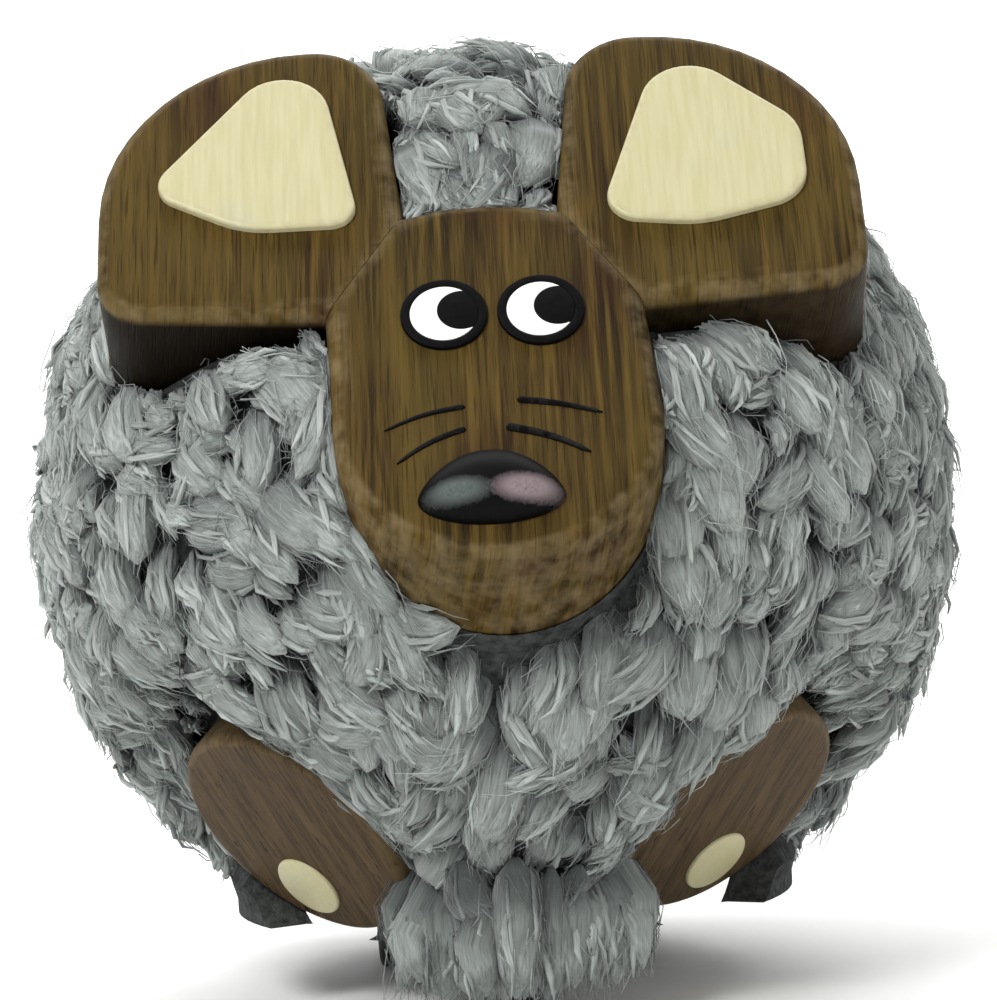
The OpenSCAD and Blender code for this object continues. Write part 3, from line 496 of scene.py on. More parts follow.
class Outline:
    """How far points on the face lie from the wood, negative inside it, read from a grid."""

    STEP = 0.6 * MM
    HALF = 66 * MM

    def __init__(self, nodes):
        line = np.arange(-self.HALF, self.HALF + self.STEP, self.STEP)
        grid = np.stack(np.meshgrid(line, line, indexing="ij"), -1).reshape(-1, 2)
        away = np.full(len(grid), 1.0)
        for node in nodes:
            bm, normal = flat_part(node, (0, -1, 0.5))
            edges = [[into(FACE, np.array(v.co))[:2] for v in e.verts] for e in bm.edges if e.is_boundary]
            bm.free()
            away = np.minimum(away, self.signed(grid, np.array(edges)))
        self.grid = away.reshape(len(line), len(line))

    @staticmethod
    def signed(points, edges):
        away = np.full(len(points), 1.0)
        inside = np.zeros(len(points), bool)
        for a, b in edges:
            run = b - a
            t = np.clip((points - a) @ run / max(run @ run, 1e-18), 0, 1)
            away = np.minimum(away, np.linalg.norm(points - a - t[:, None] * run, axis=1))
            spans = (a[1] > points[:, 1]) != (b[1] > points[:, 1])
            if run[1]:
                inside ^= spans & (points[:, 0] < a[0] + (points[:, 1] - a[1]) * run[0] / run[1])
        return np.where(inside, -away, away)

    def away(self, across, along):
        x = np.clip((across + self.HALF) / self.STEP, 0, len(self.grid) - 2.001)
        y = np.clip((along + self.HALF) / self.STEP, 0, len(self.grid) - 2.001)
        i, j = x.astype(int), y.astype(int)
        fx, fy = x - i, y - j
        g = self.grid
        return ((g[i, j] * (1 - fx) + g[i + 1, j] * fx) * (1 - fy)
                + (g[i, j + 1] * (1 - fx) + g[i + 1, j + 1] * fx) * fy)

    def slope(self, across, along):
        """Direction straight away from the wood."""
        h = self.STEP
        return unit(np.stack([self.away(across + h, along) - self.away(across - h, along),
                              self.away(across, along + h) - self.away(across, along - h)], -1))


class Hollows:
    """The places that wool keeps out of: the head, the soles, the key's pocket and the open bottom."""

    def __init__(self):
        self.outline = Outline(("head_block", "left_ear", "right_ear"))
        self.rim_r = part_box("chassis_plate")[1].x + 2.6 * MM
        self.rim_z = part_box("lower_shell")[0].z
        low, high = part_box("key")
        self.key_z = (low.z + high.z) / 2
        self.key_r = (high.x - low.x) / 2 + 1.4 * MM
        self.key_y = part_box("key_tube")[1].y - 3 * MM

    def face_limit(self, p):
        """Height over the face that wool may reach, lower close to the wood."""
        away = self.outline.away(p[..., 0], p[..., 1])
        return FACE_REACH - 3.4 * MM + 0.50 * np.clip(away, 0, 20 * MM)

    def collar(self, rng):
        """More places for tufts, close round the wood."""
        grid = self.outline.grid
        line = np.arange(len(grid)) * Outline.STEP - Outline.HALF
        i, j = np.nonzero((grid > 1.6 * MM) & (grid < 2.8 * MM))
        p = np.stack([line[i], line[j]], 1)
        p = p[(np.hypot(p[:, 0], p[:, 1]) < 50 * MM)]
        chosen = []
        for k in rng.permutation(len(p)):
            if all(np.hypot(*(p[k] - c)) > 3.6 * MM for c in chosen):
                chosen.append(p[k])
        chosen = np.array(chosen)
        up = np.sqrt((BALL_R - 3 * MM) ** 2 - (chosen ** 2).sum(1))
        at = FACE.copy()
        at.translation = (0, 0, 0)
        return unit(out_of(at, np.column_stack([chosen, up])))

    def slide(self, places, flow):
        """Turns the combing aside where it would run into the wood."""
        turn = np.array(FACE.to_3x3())
        p = places @ turn * (BALL_R - 3 * MM)
        outward = np.column_stack([self.outline.slope(p[:, 0], p[:, 1]), np.zeros(len(p))]) @ turn.T
        away = np.maximum(self.outline.away(p[:, 0], p[:, 1]), 0)
        near = np.where(p[:, 2] > 20 * MM, np.exp(-away / (4 * MM)), 0)
        flow = flow - outward * np.minimum(dot(flow, outward), 0) * near[:, None]
        return unit(flow - dot(flow, places) * places)

    @staticmethod
    def sole_limit(q, sole):
        """Height over a sole that wool may reach beside it: it hangs over the upper inner edge only."""
        radius = np.hypot(q[..., 0], q[..., 1])
        inward = -math.copysign(1, sole.translation.x)
        lean = (q[..., 0] * inward * 0.85 + q[..., 1] * 0.53) / np.maximum(radius, 1e-6)
        over = smooth_steps(lean, 0.35, 0.9)
        slope = (0.35 + 0.15 * over) * np.clip(radius - FOOT_R, 0, 20 * MM)
        hang = (4.9 + 1.3 * math.copysign(1, sole.translation.x)) * MM
        return radius, over, -6.2 * MM + hang * over + slope

    def settle(self, points, depth=0.0):
        """Moves points of wool out of the way of the face, the soles, the key and the wheels."""
        p = into(FACE, points)
        inside = 0.25 * MM - self.outline.away(p[..., 0], p[..., 1])
        inside = np.where(p[..., 2] > FACE_REACH - 20 * MM, np.clip(inside, 0, 6 * MM), 0)
        p[..., :2] += self.outline.slope(p[..., 0], p[..., 1]) * inside[..., None]
        p[..., 2] -= np.maximum(p[..., 2] - self.face_limit(p) + depth, 0) * 0.9
        points = out_of(FACE, p)
        for sole in SOLE.values():
            q = into(sole, points)
            radius, over, limit = self.sole_limit(q, sole)
            near = (radius > FOOT_R - 1 * MM) & (radius < FOOT_R + 16 * MM) & (q[..., 2] > -12 * MM)
            wide = np.hypot(points[..., 0], points[..., 1]) > self.rim_r + 7 * MM
            near &= (points[..., 2] > self.rim_z) | wide
            q[..., 2] -= np.where(near, np.maximum(q[..., 2] - limit + depth, 0) * 0.95, 0)
            points = out_of(sole, q)
        radius = np.hypot(points[..., 0], points[..., 1])
        low = np.where(points[..., 2] < self.rim_z + 1 * MM, self.rim_r + 2.6 * MM, 0)
        push = np.maximum(low / np.maximum(radius, 1e-6), 1)
        points[..., 0] *= push
        points[..., 1] *= push
        dz = points[..., 2] - self.key_z
        radius = np.hypot(points[..., 0], dz)
        push = np.where(points[..., 1] > self.key_y, np.maximum(self.key_r / np.maximum(radius, 1e-6), 1), 1)
        points[..., 0] *= push
        points[..., 2] = self.key_z + dz * push
        points[..., 2] = np.maximum(points[..., 2], 0.7 * MM)
        return points

    def blocks(self, points, overlap):
        """Which points lie in front of the wood or a sole by more than an overlap."""
        p = into(FACE, points)
        away = self.outline.away(p[..., 0], p[..., 1])
        hit = (away < -overlap * 0.4) & (p[..., 2] > FACE_REACH - 14 * MM)
        for sole in SOLE.values():
            q = into(sole, points)
            radius, over, _ = self.sole_limit(q, sole)
            hit |= (radius < FOOT_R + 0.9 * MM * (1 - over)) & (q[..., 2] > -9 * MM)
        radius = np.hypot(points[..., 0], points[..., 1])
        hit |= points[..., 2] < self.rim_z - 3 * MM
        hit |= (points[..., 2] < self.rim_z + 4 * MM) & (radius < self.rim_r)
        radius = np.hypot(points[..., 0], points[..., 2] - self.key_z)
        return hit | ((points[..., 1] > self.key_y) & (radius < self.key_r))


def combed(places, rng, swirl):
    """The way that wool lies at each place on the ball, as unit vectors along its surface."""
    flow = np.tile([0.0, 0.0, -0.25], (len(places), 1))
    for at, along in COMBING:
        at, along = (unit(np.array((v[0], -v[1], v[2]))) for v in (at, along))
        near = np.exp(-np.arccos(np.clip(places @ at, -1, 1)) ** 2 / (2 * 0.42 ** 2))
        flow += near[:, None] * along
    eddies = np.zeros_like(flow)
    for _ in range(10):
        wave = rng.normal(size=3) * 2.6
        eddies += rng.normal(size=3) * np.sin(places @ wave + rng.uniform(0, 2 * math.pi))[:, None]
    flow = unit(flow) + eddies * swirl * 0.45 + rng.normal(size=flow.shape) * 0.14
    return unit(flow - dot(flow, places) * places)


class Paths:
    """The middle lines of tufts, each with its own directions to the side and outwards."""

    STEPS = 9

    def __init__(self, points, outward):
        self.points = points
        self.along = unit(np.gradient(points, axis=1))
        self.side = unit(np.cross(self.along, outward))
        self.out = np.cross(self.side, self.along)

    def at(self, tuft, s):
        """Place, side and outward direction at shares s of the tufts' lengths."""
        x = s * (self.STEPS - 1)
        i = np.clip(x.astype(int), 0, self.STEPS - 2)
        f = (x - i)[..., None]
        t = tuft[:, None]
        return tuple(a[t, i] * (1 - f) + a[t, i + 1] * f for a in (self.points, self.side, self.out))


def over_ball(places, flow, length, bend, lift, rng):
    """Paths that start at places on the ball, follow the flow and lift off towards their tips."""
    side = np.cross(places, flow)
    s = np.linspace(0, 1, Paths.STEPS)
    turn = bend[:, None]
    turn = np.where(np.abs(turn) < 1e-3, 1e-3, turn)
    forward = length[:, None] * np.sin(turn * s) / turn
    sideways = length[:, None] * (1 - np.cos(turn * s)) / turn
    low, high = BALL_R - 6.4 * MM, BALL_R - 2.2 * MM
    height = low + (high - low) * smooth_steps(s, -0.1, 0.62) + lift[:, None] * s ** 2
    way = unit(places[:, None] * low + forward[..., None] * flow[:, None]
               + sideways[..., None] * side[:, None])
    return np.array(BALL_AT) + way * height[..., None], way


def fringe(hollows, rng):
    """Paths that hang round the open bottom, longest in front, where they hide the roller and the wheels."""
    front_yaw, back_yaw, count = 23, 146, 260
    turn = (np.arange(count) + rng.uniform(-0.4, 0.4, count)) * 2 * math.pi / count
    yaw = np.degrees(np.abs((turn + math.pi) % (2 * math.pi) - math.pi))
    hung = (yaw < front_yaw) | (yaw > back_yaw)
    turn, yaw, count = turn[hung], yaw[hung], hung.sum()
    row = rng.integers(0, 3, count)
    radius = hollows.rim_r + 1.4 * MM + row * 1.4 * MM
    x, y = radius * np.sin(turn), -radius * np.cos(turn)
    front_low = 2.4 * MM + 2.2 * MM * smooth_steps(np.abs(x), 3 * MM, 15 * MM)
    back_low = 9.0 * MM - 2.0 * MM * smooth_steps(yaw, back_yaw, 165)
    low = np.where(yaw < front_yaw, front_low, back_low) + row * 0.5 * MM + rng.uniform(0, 0.7 * MM, count)
    top = hollows.rim_z + 2.5 * MM + row * 1.5 * MM
    s = np.linspace(0, 1, Paths.STEPS)
    z = top[:, None] + (low - top)[:, None] * s
    sway = rng.normal(size=(count, 1)) * 1.2 * MM * s ** 1.5
    out = 1 + (1.6 * MM + 3.4 * MM * (1 - s) ** 1.4) / radius[:, None]
    points = np.stack([x[:, None] * out + sway * np.cos(turn)[:, None],
                       y[:, None] * out + sway * np.sin(turn)[:, None], z], -1)
    outward = np.stack([np.sin(turn), -np.cos(turn), np.zeros(count)], 1)
    return points, np.repeat(outward[:, None], Paths.STEPS, 1)


def strand_shape(sides, rings):
    """A closed strand along Z, one unit round, with a ring at each whole number: its points and faces."""
    bm = bmesh.new()
    bmesh.ops.create_circle(bm, cap_ends=True, segments=sides, radius=1)
    tip = bm.faces[:]
    for _ in range(rings - 1):
        made = bmesh.ops.extrude_face_region(bm, geom=tip)["geom"]
        tip = [f for f in made if isinstance(f, bmesh.types.BMFace)]
        bmesh.ops.translate(bm, vec=UP, verts=list({v for f in tip for v in f.verts}))
    bmesh.ops.recalc_face_normals(bm, faces=bm.faces)
    bm.verts.ensure_lookup_table()
    points = np.array([v.co for v in bm.verts])
    faces = [[v.index for v in f.verts] for f in bm.faces]
    bm.free()
    return points, faces


def repeated(name, shape, points, tone_and_shade, strand):
    """A mesh of many copies of a strand, from the places, tones and pattern places of all their points."""
    _, faces = shape
    copies, count = points.shape[:2]
    sizes = np.array([len(f) for f in faces])
    corners = np.concatenate([np.array(f) for f in faces])
    loops = (np.arange(copies)[:, None] * count + corners).ravel()
    totals = np.tile(sizes, copies)
    mesh = bpy.data.meshes.new(name)
    mesh.vertices.add(copies * count)
    mesh.vertices.foreach_set("co", points.astype(np.float32).ravel())
    mesh.loops.add(len(loops))
    mesh.loops.foreach_set("vertex_index", loops.astype(np.int32))
    mesh.polygons.add(len(totals))
    mesh.polygons.foreach_set("loop_start", (np.cumsum(totals) - totals).astype(np.int32))
    mesh.update(calc_edges=True)
    # The strands' tones carry painted shade as well as each one's own brightness.
    mesh.attributes.new("tone_and_shade", "FLOAT", "POINT").data.foreach_set("value", tone_and_shade.astype(np.float32).ravel())
    layer = mesh.attributes.new("strand", "FLOAT_VECTOR", "POINT")
    layer.data.foreach_set("vector", strand.astype(np.float32).ravel())
    return mesh


def strands(shape, paths, hollows, tuft, turn, reach, width, thick, start, end, profile, wave, tone_and_shade, twist,
            rng):
    """Points, tones darkened with painted shade, and pattern places of strands that follow tufts.

    Each strand has a tuft, a turn and a reach about its middle line as a share of width and thick, a start
    and end along it, and a profile of its own radius along its length.
    """
    ring_of = shape[0][:, 2].astype(int)
    rings = ring_of.max() + 1
    share = np.linspace(0, 1, rings)
    s = start[:, None] + (end - start)[:, None] * share
    middle, side, out = paths.at(tuft, s)
    angle = turn[:, None] + twist[:, None] * s
    wide = reach[:, None] * width(tuft, s)
    deep = reach[:, None] * thick(tuft, s)
    centre = middle + side * (np.cos(angle) * wide)[..., None] + out * (np.sin(angle) * deep)[..., None]
    if wave:
        phase = rng.uniform(0, 2 * math.pi, (len(tuft), 1, 3))
        pace = rng.uniform(3, 9, (len(tuft), 1, 3))
        centre = centre + wave * share[None, :, None] ** 0.5 * np.sin(phase + pace * s[..., None])
    centre = hollows.settle(centre, -2.3 * MM)
    along = unit(np.gradient(centre, axis=1))
    across = unit(np.cross(out, along))
    upright = np.cross(along, across)
    radius = profile(tuft, share)
    phi = np.arctan2(shape[0][:, 1], shape[0][:, 0])
    across_r, upright_r = radius if isinstance(radius, tuple) else (radius, radius)
    points = (centre[:, ring_of] + across[:, ring_of] * (np.cos(phi) * across_r[:, ring_of])[..., None]
              + upright[:, ring_of] * (np.sin(phi) * upright_r[:, ring_of])[..., None])
    run = np.linalg.norm(centre[:, -1] - centre[:, 0], axis=1)
    spin = rng.uniform(0, 50, (len(tuft), 1, 3))
    streak, stretch = 0.28 * MM, 4.5 * MM
    pattern = np.stack([np.cos(phi) * across_r[:, ring_of] / streak,
                        np.sin(phi) * upright_r[:, ring_of] / streak,
                        share[ring_of] * run[:, None] / stretch], -1) + spin
    # Painted shade: strands near their tuft's root and low on its sides are darkened, for the shade between the
    # tufts.
    crest = (reach[:, None] * np.sin(angle))[:, ring_of] + (1 - reach)[:, None].clip(0) * np.sin(phi)
    shade = tone_and_shade[:, None] * (0.10 + 0.90 * smooth_steps(s, 0.05, 0.7))[:, ring_of]
    return points, shade * (0.42 + 0.58 * smooth_steps(crest, -0.1, 0.85)), pattern


def add_strands(name, shape, mat, limit, points, tone_and_shade, pattern):
    """Shares strands out between pieces that each stay under a number of triangles."""
    each = sum(len(f) - 2 for f in shape[1])
    pieces = max(1, math.ceil(len(points) * each / limit))
    for k, chosen in enumerate(np.array_split(np.arange(len(points)), pieces)):
        label = name if pieces == 1 else f"{name}_{k + 1}"
        mesh = repeated(label, shape, points[chosen], tone_and_shade[chosen], pattern[chosen])
        place(label, mesh, mat, "root", "wool")


class MOUSE_OT_wool_backing(bpy.types.Operator):
    """Makes the matted ground of the coat, which the tufts are rooted in"""
    bl_idname = "mouse.wool_backing"
    bl_label = "Wool Backing"

    def execute(self, context):
        wool = context.scene.mouse_wool
        bm = copy_of("wool_coat")
        hollows = Hollows()
        outer = [v for v in bm.verts if (v.co - BALL_AT).length > BALL_R - 0.2 * MM]
        for v in outer:
            depth = 4.6 * MM * float(smooth_steps(v.co.z, 10 * MM, 24 * MM))
            v.co -= (v.co - BALL_AT).normalized() * depth
        settled = hollows.settle(np.array([v.co for v in outer]), 3 * MM)
        for v, at in zip(outer, settled):
            v.co = at
        # The backing is painted near black: painted shade seen through the gaps between the tufts.
        piece("wool_backing", bm, wool_ground_painted_shade(wool.colour), "root", "wool", "wool_coat", smooth=False)
        return {"FINISHED"}


class MOUSE_OT_wool_tufts(bpy.types.Operator):
    """Covers the ball with combed tufts, each of one soft body, some locks and many fine fibres"""
    bl_idname = "mouse.wool_tufts"
    bl_label = "Wool Tufts"

    def execute(self, context):
        wool = context.scene.mouse_wool
        rng = np.random.default_rng(wool.seed)
        hollows = Hollows()
        k = np.arange(wool.tufts) + 0.5
        high = 1 - 2 * k / wool.tufts
        turn = math.pi * (1 + math.sqrt(5)) * k
        level = np.sqrt(1 - high ** 2)
        places = np.stack([level * np.cos(turn), level * np.sin(turn), high], 1)
        places = unit(places + rng.normal(size=places.shape) * 0.022)
        places = np.concatenate([places, hollows.collar(rng)])
        surface = np.array(BALL_AT) + places * (BALL_R - 3 * MM)
        places = places[~hollows.blocks(surface, 0.2 * MM)]
        flow = hollows.slide(places, combed(places, rng, wool.swirl))
        count = len(places)
        length = wool.length * rng.uniform(0.7, 1.45, count)
        bend = rng.normal(size=count) * 0.8
        lift = rng.uniform(-2.0, 1.6, count) * MM
        for _ in range(7):
            points, way = over_ball(places, flow, length, bend, lift, rng)
            length = np.where(hollows.blocks(points, 2.2 * MM).any(1), length * 0.82, length)
        kept = ~hollows.blocks(points, 3.4 * MM).any(1)
        points, way, length = points[kept], way[kept], length[kept]
        hung, hung_out = fringe(hollows, rng)
        points, way = np.concatenate([points, hung]), np.concatenate([way, hung_out])
        length = np.concatenate([length, np.full(len(hung), wool.length)])
        count = len(points)
        scale = np.clip(length / wool.length, 0.45, 1.2)
        half = wool.width / 2 * scale * rng.uniform(0.65, 1.4, count)
        points = hollows.settle(points)
        paths = Paths(points, way)
        tones = np.clip(rng.normal(0.92, 0.10, count), 0.6, 1.15)
        self.clothe(wool, paths, hollows, half, tones, rng)
        return {"FINISHED"}

    def clothe(self, wool, paths, hollows, half, tones, rng):
        count = len(half)
        everyone = np.arange(count)
        mat = wool_yarn("wool_yarn", wool.colour)

        def width(tuft, s):
            t = np.clip(s, 0, 1)
            return half[tuft][:, None] * (0.62 + 0.38 * np.sin(math.pi * t ** 0.8))

        def thick(tuft, s):
            return width(tuft, s) * 0.66

        def body_profile(tuft, share):
            blunt = np.sqrt(np.clip(1 - share ** 7, 0.01, 1)) * np.sqrt(np.clip(share * 6 + 0.1, 0, 1))
            wide = width(tuft, np.tile(share, (len(tuft), 1))) * blunt * 0.9
            return wide, wide * 0.66

        still = np.zeros(count)
        body = strand_shape(8, 9)
        # The bodies get darker tones than the locks and fibres over them, as painted shade beneath those.
        add_strands("wool_bodies", body, mat, 190000, *strands(
            body, paths, hollows, everyone, still, still, width, thick, still, still + 1, body_profile, 0,
            tones * 0.72, still, rng))

        tuft = np.repeat(everyone, wool.locks)
        n = len(tuft)
        thickness = rng.uniform(0.22, 0.46, n) * MM

        def lock_profile(_, share):
            return thickness[:, None] * np.sqrt(np.clip(1.02 - share ** 6, 0, 1)) * np.sqrt(
                np.clip(share * 4 + 0.1, 0, 1))

        lock = strand_shape(5, 5)
        start = rng.uniform(0.0, 0.4, n)
        add_strands("wool_locks", lock, mat, 190000, *strands(
            lock, paths, hollows, tuft, rng.uniform(-0.3, math.pi + 0.3, n), rng.uniform(0.75, 0.98, n),
            width, thick, start, rng.uniform(0.7, 1.03, n), lock_profile, 0.6 * MM,
            tones[tuft] * rng.normal(0.98, 0.09, n),
            rng.normal(size=n) * 1.1, rng))

        tuft = np.repeat(everyone, wool.fibres)
        n = len(tuft)
        fine = wool.fibre / 2 * rng.uniform(0.55, 1.25, n)

        def fibre_profile(_, share):
            return fine[:, None] * (1 - 0.7 * share ** 2)

        fibre = strand_shape(3, 4)
        stray = rng.uniform(size=n)
        reach = np.where(stray < 0.10, rng.uniform(1.1, 1.7, n), rng.uniform(0.86, 1.10, n))
        twist = rng.normal(size=n) * np.where(stray > 0.6, 4.0, 1.2)
        start = rng.uniform(0.0, 0.65, n)
        add_strands("wool_fibres", fibre, mat, 190000, *strands(
            fibre, paths, hollows, tuft, rng.uniform(-0.4, math.pi + 0.4, n), reach, width, thick,
            start, np.minimum(start + rng.uniform(0.3, 0.7, n), 1.12), fibre_profile, 0.7 * MM,
            tones[tuft] * rng.normal(1.04, 0.12, n), twist, rng))


class MOUSE_OT_head(bpy.types.Operator):
    """Makes the head and the ears from thick walnut board, with worn edges and a fine mitre joint"""
    bl_idname = "mouse.head"
    bl_label = "Head and Ears"

    def execute(self, context):
        wood = context.scene.mouse_wood
        low = min(v.co.dot(FACE_N) for v in frame["nodes"]["head_block"].data.vertices)
        depth = FACE_MID.dot(FACE_N) - low
        names = ("head_block", "left_ear", "right_ear")
        middles = {}
        for node in names:
            bm, _ = flat_part(node, (0, -1, 0.5))
            middles[node] = [(e.verts[0].co + e.verts[1].co) / 2 for e in bm.edges if e.is_boundary]
            bm.free()
        for k, node in enumerate(names):
            bm, normal = flat_part(node, (0, -1, 0.5))
            thicken(bm, normal, depth)
            others = [m for other in names if other != node for m in middles[other]]
            for facing in (normal, -normal):
                rim = rims(bm, facing)
                joint = [e for e in rim if self.on_joint(e, others, normal, depth)]
                outer = [e for e in rim if e not in joint]
                round_edges(bm, outer, wood.round_over, 4)
                rim = [e for e in rims(bm, facing) if self.on_joint(e, others, normal, depth)]
                round_edges(bm, rim, wood.mitre, 2)
            self.mark_edges(bm, normal)
            self.mark_underside(bm, normal)
            # How strongly painted shade darkens the undersides: not at all on the head block, most on the left
            # ear.
            underside_shade = (0.0, 0.97, 0.8)[k]
            mat = walnut(f"walnut_{node}", FACE, 11 * MM * k, underside_shade)
            obj = piece(f"{node}_walnut", bm, mat, "root", "walnut", node)
            sharpen(obj, 40)
        return {"FINISHED"}

    @staticmethod
    def on_joint(edge, others, normal, depth):
        middle = (edge.verts[0].co + edge.verts[1].co) / 2
        lift = (FACE_MID - middle).dot(normal)
        return any((middle + normal * lift - m).length < 1.0 * MM for m in others)

    @staticmethod
    def mark_underside(bm, normal):
        """Marks the sides that look down along the face, which are darkened with painted shade on the ears."""
        layer = bm.verts.layers.float.new("under")
        for f in bm.faces:
            if abs(f.normal.dot(normal)) < 0.05 and f.normal.dot(FACE.col[1].xyz) < -0.4:
                for v in f.verts:
                    v[layer] = 1

    @staticmethod
    def mark_edges(bm, normal):
        """Marks the rounded edges, and insets the flat faces so that the mark fades out near the edge."""
        layer = bm.verts.layers.float.new("edge")
        flat = [f for f in bm.faces if abs(f.normal.dot(normal)) > 0.999]
        for f in bm.faces:
            if 0.02 < abs(f.normal.dot(normal)) < 0.98:
                for v in f.verts:
                    v[layer] = 1
        for f in flat:
            bmesh.ops.inset_region(bm, faces=[f], thickness=1.2 * MM, use_even_offset=True)
            for v in f.verts:
                v[layer] = 0


class MOUSE_OT_ear_panels(bpy.types.Operator):
    """Makes the thin cream panels on the ears"""
    bl_idname = "mouse.ear_panels"
    bl_label = "Ear Panels"

    def execute(self, context):
        mat = cream_paint()
        for node in ("left_ear_panel", "right_ear_panel"):
            cream_plate(f"{node}_cream", node, FACE_N, mat, 0.9 * MM, 0.4 * MM)
        return {"FINISHED"}


def cream_plate(name, node, facing, mat, depth, radius):
    """A painted plate with a rounded rim, whose paint is rubbed there."""
    bm, normal = flat_part(node, facing)
    round_edges(bm, thicken(bm, normal, depth), radius, 3)
    layer = bm.verts.layers.float.new("edge")
    for f in bm.faces:
        if f.normal.dot(normal) > 0.999:
            continue
        for v in f.verts:
            v[layer] = 1
    front = [f for f in bm.faces if f.normal.dot(normal) > 0.999]
    bmesh.ops.inset_region(bm, faces=front, thickness=0.7 * MM, use_even_offset=True)
    for f in front:
        for v in f.verts:
            v[layer] = 0
    obj = piece(name, bm, mat, "root", "cream_paint", node)
    sharpen(obj)
    return obj


class MOUSE_OT_eyes(bpy.types.Operator):
    """Makes the rims, whites and pupils of the eyes as thick plates of satin paint"""
    bl_idname = "mouse.eyes"
    bl_label = "Eyes"

    def execute(self, context):
        paint = context.scene.mouse_paint
        black = satin_paint("black_satin", paint.black)
        white = satin_paint("white_satin", paint.white)
        layers = (("eye_rims", black, "eye_black", 0.16), ("eye_whites", white, "eye_white", 0.05),
                  ("pupils", black, "eye_black", 0.06))
        for node, mat, slot, radius in layers:
            bm, normal = flat_sheet(node, FACE_N)
            round_edges(bm, thicken(bm, normal, 0.5 * MM), radius * MM, 3)
            sharpen(piece(f"{node}_gloss", bm, mat, "root", slot, node), 50)
        return {"FINISHED"}


class MOUSE_OT_nose(bpy.types.Operator):
    """Makes the nose, a squashed bead with a fuller lower lip"""
    bl_idname = "mouse.nose"
    bl_label = "Nose"

    def execute(self, context):
        node = frame["nodes"]["nose"]
        local = into(FACE, np.array([v.co for v in node.data.vertices]))
        local = local[local[:, 2] > FACE_REACH + 0.01 * MM]
        low, high = local.min(0), local.max(0)
        half = Vector(((high[0] - low[0]) / 2, (high[1] - low[1]) / 2, high[2] - FACE_REACH))
        at = FACE @ Matrix.Translation(((high[0] + low[0]) / 2, (high[1] + low[1]) / 2, FACE_REACH))
        bm = bmesh.new()
        bmesh.ops.create_uvsphere(bm, u_segments=56, v_segments=36, radius=1)
        bmesh.ops.bisect_plane(bm, geom=bm.verts[:] + bm.edges[:] + bm.faces[:], plane_co=(0, 0, -0.12),
                               plane_no=(0, 0, -1), clear_outer=True)
        rim = [e for e in bm.edges if e.is_boundary]
        bmesh.ops.holes_fill(bm, edges=rim)
        for v in bm.verts:
            x, y, z = v.co
            v.co.x = math.copysign(abs(x) ** 0.92, x) * (1 - 0.10 * max(0, y))
            v.co.y = y * (1 - 0.16 * x * x) - 0.24 * x * x + 0.04
            v.co.z = z * (1 - 0.08 * math.exp(-(x / 0.3) ** 2) * max(0, -y))
        bmesh.ops.scale(bm, vec=half, verts=bm.verts)
        bmesh.ops.transform(bm, matrix=at, verts=bm.verts)
        bmesh.ops.recalc_face_normals(bm, faces=bm.faces)
        piece("nose_bead", bm, nose_paint_and_highlights(at), "root", "nose_black", "nose")
        return {"FINISHED"}


class MOUSE_OT_whiskers(bpy.types.Operator):
    """Paints the four whiskers as raised strokes, thick at the nose and tapering outwards"""
    bl_idname = "mouse.whiskers"
    bl_label = "Whiskers"

    # Inner end, outer end, rise of the bow between them and width, on the face in millimetres
    STROKES = (
        ((-2.6, -21.9), (-11.2, -24.6), 0.50, 0.74),
        ((-2.6, -24.8), (-10.0, -29.0), 0.50, 0.78),
        ((2.9, -21.3), (11.8, -23.6), 0.30, 0.95),
        ((1.6, -24.8), (10.3, -28.7), 0.50, 1.10),
    )

    def execute(self, context):
        mat = satin_paint("whisker_black", context.scene.mouse_paint.black)
        for k, (start, end, bow, width) in enumerate(self.STROKES):
            bm = bmesh.new()
            bmesh.ops.create_circle(bm, cap_ends=True, segments=10, radius=1)
            tip = bm.faces[:]
            steps = 18
            start, end = Vector(start), Vector(end)
            across = (end - start).orthogonal().normalized()
            across *= 1 if across.y > 0 else -1
            rings = [list(bm.verts)]
            for _ in range(steps):
                made = bmesh.ops.extrude_face_region(bm, geom=tip)["geom"]
                tip = [f for f in made if isinstance(f, bmesh.types.BMFace)]
                rings.append([v for v in made if isinstance(v, bmesh.types.BMVert)])
            for i, ring in enumerate(rings):
                t = (i / steps) ** 1.6
                at = start.lerp(end, t) + across * bow * math.sin(math.pi * t)
                ahead = (end - start) + across * bow * math.pi * math.cos(math.pi * t)
                side = Vector((-ahead.y, ahead.x)).normalized()
                ends = math.sqrt(max(0.03, 1 - max(0, 1 - t / 0.05) ** 2))
                half = width / 2 * (1 - 0.5 * t ** 1.5) * ends * (0.4 if i == steps else 1)
                for v in ring:
                    flat = at + side * v.co.x * half
                    v.co = Vector((flat.x, flat.y, max(v.co.y, -0.3) * 0.13 * ends)) * MM
            bmesh.ops.recalc_face_normals(bm, faces=bm.faces)
            on_face = FACE @ Matrix.Translation((0, 0, FACE_REACH + 0.01 * MM))
            bmesh.ops.transform(bm, matrix=on_face, verts=bm.verts)
            piece(f"whisker_{k + 1}", bm, mat, "root", "nose_black")
        return {"FINISHED"}


